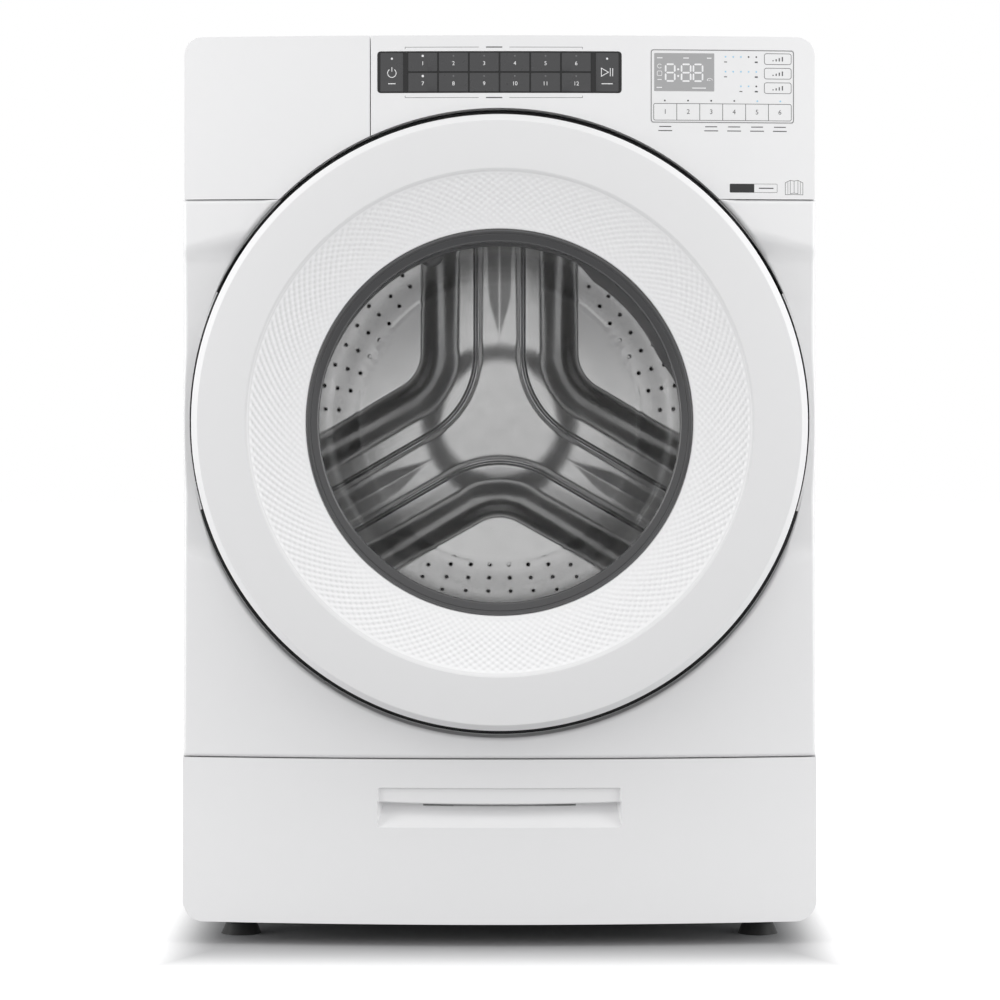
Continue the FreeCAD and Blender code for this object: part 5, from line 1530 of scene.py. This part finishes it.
class WASHER_OT_keypad(bpy.types.Operator):
    """Build the keypad surround, its fourteen keys and their marks"""

    bl_idname = "washer.keypad"
    bl_label = "Keypad"

    def execute(self, context):
        middle = 345.0
        boxes = [span(name) for name in KEYS]
        holes = [box_outline(low, high, 0.25, 0.8, 3) for low, high in boxes]
        outline = box_outline(BEZEL_LOW, BEZEL_HIGH, 0, 3.5)
        bowed_piece("keypad_surround", outline, holes, lambda x, z: bow(x) - 0.05, middle, 0.35, 2,
                    "cabinet", "key_dark", "keypad", stands_for=["key_bezel"])
        plate = bowed_plate(outline, [], lambda x, z: middle, -BEZEL_HIGH.y, strips=4)
        piece("keypad_base", settle("keypad_base", plate), "cabinet", "key_dark", "keypad")
        for name, (low, high) in zip(KEYS, boxes):
            self.build_key(name, low, high)
        return {"FINISHED"}

    def build_key(self, name, low, high):
        def face(x, z=0.0):
            return min(bow(x) + 0.1, -low.y)

        def ink(x):
            return face(x) + 0.06

        cap = name + "_cap"
        outline = box_outline(low, high, 0, 0.8, 3)
        bowed_piece(cap, outline, [], face, -high.y, 0.4, 3, cap, "key_dark", "keys",
                    strips=180, stands_for=[name])
        x, z = (low.x + high.x) / 2, (low.z + high.z) / 2
        if name == "key_power":
            shapes = [(*mark, 0) for mark in power_marks(x, z, ink)]
        elif name == "key_start":
            shapes = [(*mark, 0) for mark in start_marks(x, z, ink)]
        else:
            lit = name in ("key_1", "key_7")
            shapes = [(*number(name.split("_")[1], x, z - 1.6, 4.2, ink), 0),
                      (*dot(x, z + 6.6, 1.25 if lit else 0.9, ink), 0 if lit else 1)]
        mesh = gather(name + "_marks", shapes)
        piece(name + "_marks", mesh, cap, "key_dark", "print_white", "lamp_dim")


# ends of a digit's seven bars, across and up from its middle
DIGIT_BARS = (
    ((-1, 1), (1, 1)), ((1, 1), (1, 0)), ((1, 0), (1, -1)), ((-1, -1), (1, -1)), ((-1, 0), (-1, -1)),
    ((-1, 1), (-1, 0)), ((-1, 0), (1, 0)),
)


def lit_digit(x, z, half_wide, half_tall, width, ink):
    """A digit of seven bars, all lit."""
    bars = []
    for start, stop in DIGIT_BARS:
        way = (Vector(stop) - Vector(start)).normalized()
        p = Vector((start[0] * half_wide, start[1] * half_tall)) + way * width * 0.35
        q = Vector((stop[0] * half_wide, stop[1] * half_tall)) - way * width * 0.35
        side, tip = Vector((-way.y, way.x)) * width / 2, way * width / 2
        shape = [p, p + tip + side, q - tip + side, q, q - tip - side, p + tip - side]
        bars.append(patch([(x + v.x, z + v.y) for v in shape], ink))
    return bars


# the screen, the row of six touch keys and the three level keys, as left, low, right and high
SCREEN = (166.5, 921.5, 231.5, 962.5)
TOUCH_KEYS = (166.0, 890.3, 315.4, 908.2)
LEVEL_LEFT, LEVEL_RIGHT, LEVEL_TOP = 286.0, 315.3, 957.0
TOUCH_COUNT = 6
LAMP_LEFT, LAMP_PITCH, LAMP_RADIUS = 243.8, 8.35, 0.95


def overlay_face(x, z=0.0):
    """The display panel's front lies a hair behind the bow."""
    return bow(x) - 0.12


def lens_face(x, z=0.0):
    return bow(x) - 0.16


def overlay_ink(x):
    return overlay_face(x) + 0.05


def fascia_ink(x):
    return bow(x) + 0.06


def touch_place(count):
    """How far across a spot is that lies a number of touch keys from the row's left end."""
    left, right = TOUCH_KEYS[0], TOUCH_KEYS[2]
    return left + (right - left) * count / TOUCH_COUNT


def screen_marks():
    """What is lit on the screen: three digits with a colon between, and small bare signs round them."""
    ink, middle = overlay_ink, 941.5
    made = []
    for x in (183.8, 201.0, 213.9):
        made += lit_digit(x, middle, 4.9, 9.0, 1.9, ink)
    made += [dot(192.5, middle + 3.6, 1.2, ink), dot(192.5, middle - 3.6, 1.2, ink)]
    for x, wide in ((172.5, 6), (201, 6), (226, 5)):
        made.append(dash(x, 957.3, wide, 1.1, ink))
    made += [dash(172, 925.5, 6, 1.1, ink), dash(215, 925.0, 15, 1.1, ink)]
    made.append(strip(arc(172.3, 948.5, 2.2, 30, 330), 0.6, ink))
    made.append(box_line(169.8, 938.2, 174.8, 943.2, 1.2, 0.6, ink))
    made.append(strip([(170, 934), (174.6, 934)], 0.9, ink))
    made.append(strip(arc(226.6, 932.4, 3.2, 20, 160), 0.6, ink))
    return made + [dot(226.6 - aside, 933.4, 0.6, ink) for aside in (0, 2)]


def add_lamps(grey, black, blue):
    """Three rows of lamps with bars under their ends, and a row over the touch keys."""
    ink = overlay_ink
    for row, (z, first) in enumerate(((959.0, 0), (943.0, 0), (927.3, 2))):
        for k in range(first, 5):
            dark = (row == 0 and k > 2) or (row == 2 and k == 4)
            (black if dark else blue).append(dot(LAMP_LEFT + LAMP_PITCH * k, z, LAMP_RADIUS, ink))
        grey.append(dash(LAMP_LEFT + LAMP_PITCH * first, z - 5.6, 3.2, 1.0, ink))
        grey.append(dash(LAMP_LEFT + LAMP_PITCH * 4, z - 5.6, 3.2, 1.6, ink))
    for k in range(TOUCH_COUNT):
        (black if k < 4 else blue).append(dot(178.0 + 25.1 * k, 911.4, LAMP_RADIUS, ink))


def add_level_keys(grey):
    """Three outlined keys, each with four rising bars."""
    ink = overlay_ink
    for k in range(3):
        z = LEVEL_TOP - 15.7 * k
        grey.append(box_line(LEVEL_LEFT, z - 5.8, LEVEL_RIGHT, z + 5.8, 2.4, 0.6, ink))
        for step in range(4):
            x = 295.5 + 3.4 * step
            grey.append(strip([(x, z - 2.4), (x, z - 2.4 + 1.2 * (step + 1))], 1.3, ink))


def add_touch_keys(grey):
    """The row of touch keys: an outline, the lines between them and plain numbers."""
    ink = overlay_ink
    low, high = TOUCH_KEYS[1], TOUCH_KEYS[3]
    grey.append(box_line(*TOUCH_KEYS, 1.8, 0.6, ink))
    for k in range(1, TOUCH_COUNT):
        grey.append(strip([(touch_place(k), low), (touch_place(k), high)], 0.6, ink))
    for k in range(TOUCH_COUNT):
        grey.append(number(str(k + 1), touch_place(k + 0.5), 899.3, 5.0, ink))


def keypad_frame():
    """Lines over and under the keypad, broken in their middle by a bar."""
    made = []
    for z, drop in ((BEZEL_HIGH.z + 4.6, -2.0), (BEZEL_LOW.z - 5.2, 2.0)):
        for inner, end in ((-22.3, -101.5), (10.7, 89.2)):
            made.append(strip([(inner, z), (end, z), (end, z + drop)], 0.45, fascia_ink))
        made.append(strip([(-14.5, z), (3.0, z)], 1.2, fascia_ink))
    return made


def booklet_sign(x, z):
    """An open booklet's outline."""
    made = []
    for side in (-1, 1):
        inner, fold, outer = x + side * 4.2, x + side * 6.8, x + side * 9.6
        page = [(x, z - 6.5), (inner, z - 7.2), (inner, z + 7.2), (x, z + 6.5), (x, z - 6.5)]
        cover = [(inner, z + 7.2), (outer, z + 4.6), (outer, z - 8.4), (x, z - 8.0)]
        for line, width in ((page, 0.45), (cover, 0.5), ([(fold, z + 6.0), (fold, z - 7.6)], 0.4)):
            made.append(strip(line, width, fascia_ink))
    return made


class WASHER_OT_display(bpy.types.Operator):
    """Build the display panel with its screen, lamps and touch keys"""

    bl_idname = "washer.display"
    bl_label = "Display panel"

    def execute(self, context):
        left, low, right, high = SCREEN_LOW.x, SCREEN_LOW.z, SCREEN_HIGH.x, SCREEN_HIGH.z
        bowed_piece("display_overlay", box_outline(SCREEN_LOW, SCREEN_HIGH, 0, 3),
                    [rounded_outline(*SCREEN, 0.6, 2)], overlay_face, 328.0, 0.15, 2,
                    "cabinet", "display_white", "overlay", stands_for=["display_panel"])
        lens = rounded_outline(SCREEN[0] + 0.05, SCREEN[1] + 0.05, SCREEN[2] - 0.05, SCREEN[3] - 0.05, 0.6, 2)
        bowed_piece("display_lens", lens, [], lens_face, 330.0, 0.12, 2, "cabinet", "display_white", "screen")
        grey, black, blue = [], [], []
        add_lamps(grey, black, blue)
        add_level_keys(grey)
        add_touch_keys(grey)
        grey.append(box_line(left + 0.5, low + 0.5, right - 0.5, high - 0.5, 2.6, 0.6, overlay_ink))
        for name, kind, shapes in (("display_marks_white", "print_white", screen_marks()),
                                   ("display_marks", "print_grey", grey), ("lamps_off", "print_black", black),
                                   ("lamps_on", "print_blue", blue)):
            mesh = gather(name, [(*shape, 0) for shape in shapes])
            piece(name, mesh, "cabinet", "display_white", kind)
        self.mark_fascia()
        return {"FINISHED"}

    def mark_fascia(self):
        """Lines by the keypad, bars under the touch keys, a bare two-part label place and a booklet sign."""
        shapes = keypad_frame()
        for place in (0, 2, 3, 4, 5):
            for z, wide in ((883.4, 13.0), (879.0, 15.0)):
                shapes.append(dash(touch_place(place + 0.5), z, wide, 1.0, fascia_ink))
        left, low, right, high = 248.5, 812.8, 300.0, 822.0
        shapes.append(box_line(left, low, right, high, 0.8, 0.4, fascia_ink, 2))
        shapes.append(strip([(280, 817.4), (296, 817.4)], 1.2, fascia_ink))
        shapes += booklet_sign(318.5, 819.0)
        dark = bar(left, low, 275.0, high, lambda x: bow(x) + 0.042)
        mesh = gather("fascia_marks", [*[(*shape, 0) for shape in shapes], (*dark, 1)])
        piece("fascia_marks", mesh, "cabinet", "display_white", "print_grey", "print_black")


# ---------------------------------------------------------------- everything carried over from the frame


CARRIED = {
    "cabinet_shell": "enamel", "top_panel": "enamel", "rear_cover": "zinc_sheet",
    "cabinet_screws": "zinc_steel", "base_pan": "zinc_sheet",
    "levelling_feet": "black_rubber", "inlet_valves": "white_inner",
    "drain_outlet": "black_plastic", "cord_gland": "black_plastic", "dispenser_housing": "white_inner",
    "dispenser_tray": "white_inner", "door_lock": "white_inner", "hinge_bracket": "grey_paint",
    "hinge_leaf": "grey_paint", "door_liner": "white_inner", "tub_front": "tub", "tub_rear": "tub",
    "front_counterweight": "concrete", "drum_bearings": "zinc_steel", "drive_motor": "grey_paint",
    "motor_pulley": "zinc_steel", "drive_belt": "black_rubber", "damper_cylinders": "grey_plastic",
    "damper_rods": "grey_plastic", "pump_housing": "grey_plastic", "lint_filter": "blue_plastic",
    "pump_impeller": "black_plastic", "drying_duct": "zinc_sheet", "blower_fan": "alloy",
    "drum_spider": "alloy", "drum_pulley": "alloy",
}


class WASHER_OT_carried(bpy.types.Operator):
    """Give every piece carried over from the frame its finish"""

    bl_idname = "washer.carried"
    bl_label = "Frame finishes"

    def execute(self, context):
        for node, kind in CARRIED.items():
            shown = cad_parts[node]
            shown.data.materials.clear()
            shown.data.materials.append(finish(kind))
        return {"FINISHED"}


# ---------------------------------------------------------------- stage


# each soft box: its name, width, height, power in watts and place
SOFT_BOXES = (
    ("overhead", 2.4, 1.2, 5.0, (0, -1.1, 2.3)),
    ("left_bank", 0.8, 1.8, 17.0, (-1.9, -1.0, 0.9)),
    ("right_bank", 0.8, 1.8, 17.0, (1.9, -1.0, 0.9)),
)
LAMP_TARGET = Vector((0, -0.2, 0.55))

# within these distances of the machine the floor isn't lifted to white: its matt grey stays there, painted
# shade round the machine's real shadow; and beyond FLOOR_GREY in front it isn't lifted
SHADE_SIDE = (0.30, 0.41)
SHADE_FRONT = (0.35, 0.58)
FLOOR_GREY = (-1.7, -1.1)


def soft_lamp(name, wide, tall, power, place):
    """A rectangular soft box turned towards the machine."""
    lamp = bpy.data.lights.new(name, "AREA")
    lamp.shape = "RECTANGLE"
    lamp.size = wide
    lamp.size_y = tall
    lamp.energy = power
    made = bpy.data.objects.new(name, lamp)
    bpy.context.scene.collection.objects.link(made)
    made.location = place
    made.rotation_euler = (LAMP_TARGET - Vector(place)).to_track_quat("-Z", "Y").to_euler()


def soft_climb(tree, source, ends):
    """0 below the first of two ends, 1 above the second, and a soft climb between."""
    made = add_node(tree, "ShaderNodeMapRange", interpolation_type="SMOOTHSTEP")
    made.inputs["From Min"].default_value, made.inputs["From Max"].default_value = ends
    tree.links.new(source, made.inputs["Value"])
    return made.outputs["Result"]


def combined(tree, operation, first, second):
    """Two values made into one by a Math node's operation."""
    made = add_node(tree, "ShaderNodeMath", operation=operation)
    tree.links.new(first, made.inputs[0])
    tree.links.new(second, made.inputs[1])
    return made.outputs["Value"]


def seen_rays(tree):
    """1 where a spot is looked at, straight or in metal or glass."""
    rays = add_node(tree, "ShaderNodeLightPath").outputs
    straight_or_metal = combined(tree, "MAXIMUM", rays["Is Camera Ray"], rays["Is Glossy Ray"])
    return combined(tree, "MAXIMUM", straight_or_metal, rays["Is Transmission Ray"])


def backdrop_finish():
    """A matt floor that shows the machine's shadow, lifted to white only beyond set distances from it: nearer
    in, its matt grey is painted shade round the shadow.
    """
    made = bpy.data.materials.new("studio_floor")
    made.use_nodes = True
    tree = made.node_tree
    tree.nodes.clear()
    where = add_node(tree, "ShaderNodeTexCoord")
    folded = add_node(tree, "ShaderNodeVectorMath", operation="ABSOLUTE")
    away = add_node(tree, "ShaderNodeSeparateXYZ")
    place = add_node(tree, "ShaderNodeSeparateXYZ")
    tree.links.new(where.outputs["Object"], folded.inputs[0])
    tree.links.new(folded.outputs["Vector"], away.inputs["Vector"])
    tree.links.new(where.outputs["Object"], place.inputs["Vector"])
    # no lift near the machine: painted shade round its real shadow
    clear = combined(tree, "MAXIMUM", soft_climb(tree, away.outputs["X"], SHADE_SIDE),
                     soft_climb(tree, away.outputs["Y"], SHADE_FRONT))
    near = combined(tree, "MULTIPLY", clear, soft_climb(tree, place.outputs["Y"], FLOOR_GREY))
    matt = add_node(tree, "ShaderNodeBsdfDiffuse", Color=(0.45, 0.45, 0.455, 1))
    lift = add_node(tree, "ShaderNodeEmission", Color=(1, 1, 1, 1))
    both = add_node(tree, "ShaderNodeAddShader")
    out = add_node(tree, "ShaderNodeOutputMaterial")
    tree.links.new(combined(tree, "MULTIPLY", near, seen_rays(tree)), lift.inputs["Strength"])
    tree.links.new(matt.outputs["BSDF"], both.inputs[0])
    tree.links.new(lift.outputs["Emission"], both.inputs[1])
    tree.links.new(both.outputs["Shader"], out.inputs["Surface"])
    return made


def studio_world():
    """Even light from all round, white where it is looked at."""
    world = bpy.data.worlds.new("studio")
    world.use_nodes = True
    tree = world.node_tree
    tree.nodes.clear()
    fill = add_node(tree, "ShaderNodeBackground", Color=(1, 1, 1, 1), Strength=0.8)
    seen = add_node(tree, "ShaderNodeBackground", Color=(1, 1, 1, 1), Strength=1.0)
    mix = add_node(tree, "ShaderNodeMixShader")
    out = add_node(tree, "ShaderNodeOutputWorld")
    tree.links.new(seen_rays(tree), mix.inputs["Fac"])
    tree.links.new(fill.outputs["Background"], mix.inputs[1])
    tree.links.new(seen.outputs["Background"], mix.inputs[2])
    tree.links.new(mix.outputs["Shader"], out.inputs["Surface"])
    return world


class WASHER_OT_stage(bpy.types.Operator):
    """Set the floor, the soft studio light and the camera"""

    bl_idname = "washer.stage"
    bl_label = "Stage"

    def execute(self, context):
        scene = context.scene
        s = sizes()
        mesh = bpy.data.meshes.new("floor")
        mesh.from_pydata([(-9, -6, 0), (9, -6, 0), (9, 12, 0), (-9, 12, 0)], [], [(0, 1, 2, 3)])
        mesh.materials.append(backdrop_finish())
        floor = bpy.data.objects.new("floor", mesh)
        scene.collection.objects.link(floor)
        scene.world = studio_world()
        scene.view_settings.view_transform = "Standard"
        for box in SOFT_BOXES:
            soft_lamp(*box)
        camera = bpy.data.cameras.new("view")
        camera.lens = 133.2
        camera.sensor_width = 36
        camera.shift_x = 0.0005
        camera.shift_y = -0.14
        made = bpy.data.objects.new("view", camera)
        scene.collection.objects.link(made)
        made.location = (0, -s.camera_distance, s.camera_height)
        made.rotation_euler = (math.radians(90), 0, 0)
        scene.camera = made
        return {"FINISHED"}


# ---------------------------------------------------------------- sidebar and running order

BUILD_ORDER = (
    WASHER_OT_finishes, WASHER_OT_front_panel, WASHER_OT_console, WASHER_OT_access_panel, WASHER_OT_door_ring,
    WASHER_OT_door_glass, WASHER_OT_gasket, WASHER_OT_drum_back, WASHER_OT_drum_shell, WASHER_OT_hangers,
    WASHER_OT_keypad, WASHER_OT_display, WASHER_OT_carried, WASHER_OT_stage,
)


class WASHER_PT_sidebar(bpy.types.Panel):
    """Lists the sizes, colours and building steps"""

    bl_label = "Washer dryer"
    bl_idname = "WASHER_PT_sidebar"
    bl_space_type = "VIEW_3D"
    bl_region_type = "UI"
    bl_category = "Washer"

    def draw(self, context):
        layout = self.layout
        for settings in (context.scene.washer_sizes, context.scene.washer_colours):
            box = layout.box()
            for key in settings.__annotations__:
                box.prop(settings, key)
        for operator in BUILD_ORDER:
            layout.operator(operator.bl_idname)


CLASSES = (WASHER_PG_sizes, WASHER_PG_colours, *BUILD_ORDER, WASHER_PT_sidebar)


def register():
    for kind in CLASSES:
        bpy.utils.register_class(kind)
    bpy.types.Scene.washer_sizes = PointerProperty(type=WASHER_PG_sizes)
    bpy.types.Scene.washer_colours = PointerProperty(type=WASHER_PG_colours)


def unregister():
    del bpy.types.Scene.washer_colours
    del bpy.types.Scene.washer_sizes
    for kind in reversed(CLASSES):
        bpy.utils.unregister_class(kind)


def main():
    register()
    for operator in BUILD_ORDER:
        group, name = operator.bl_idname.split(".")
        getattr(getattr(bpy.ops, group), name)()


if __name__ == "__main__":
    main()
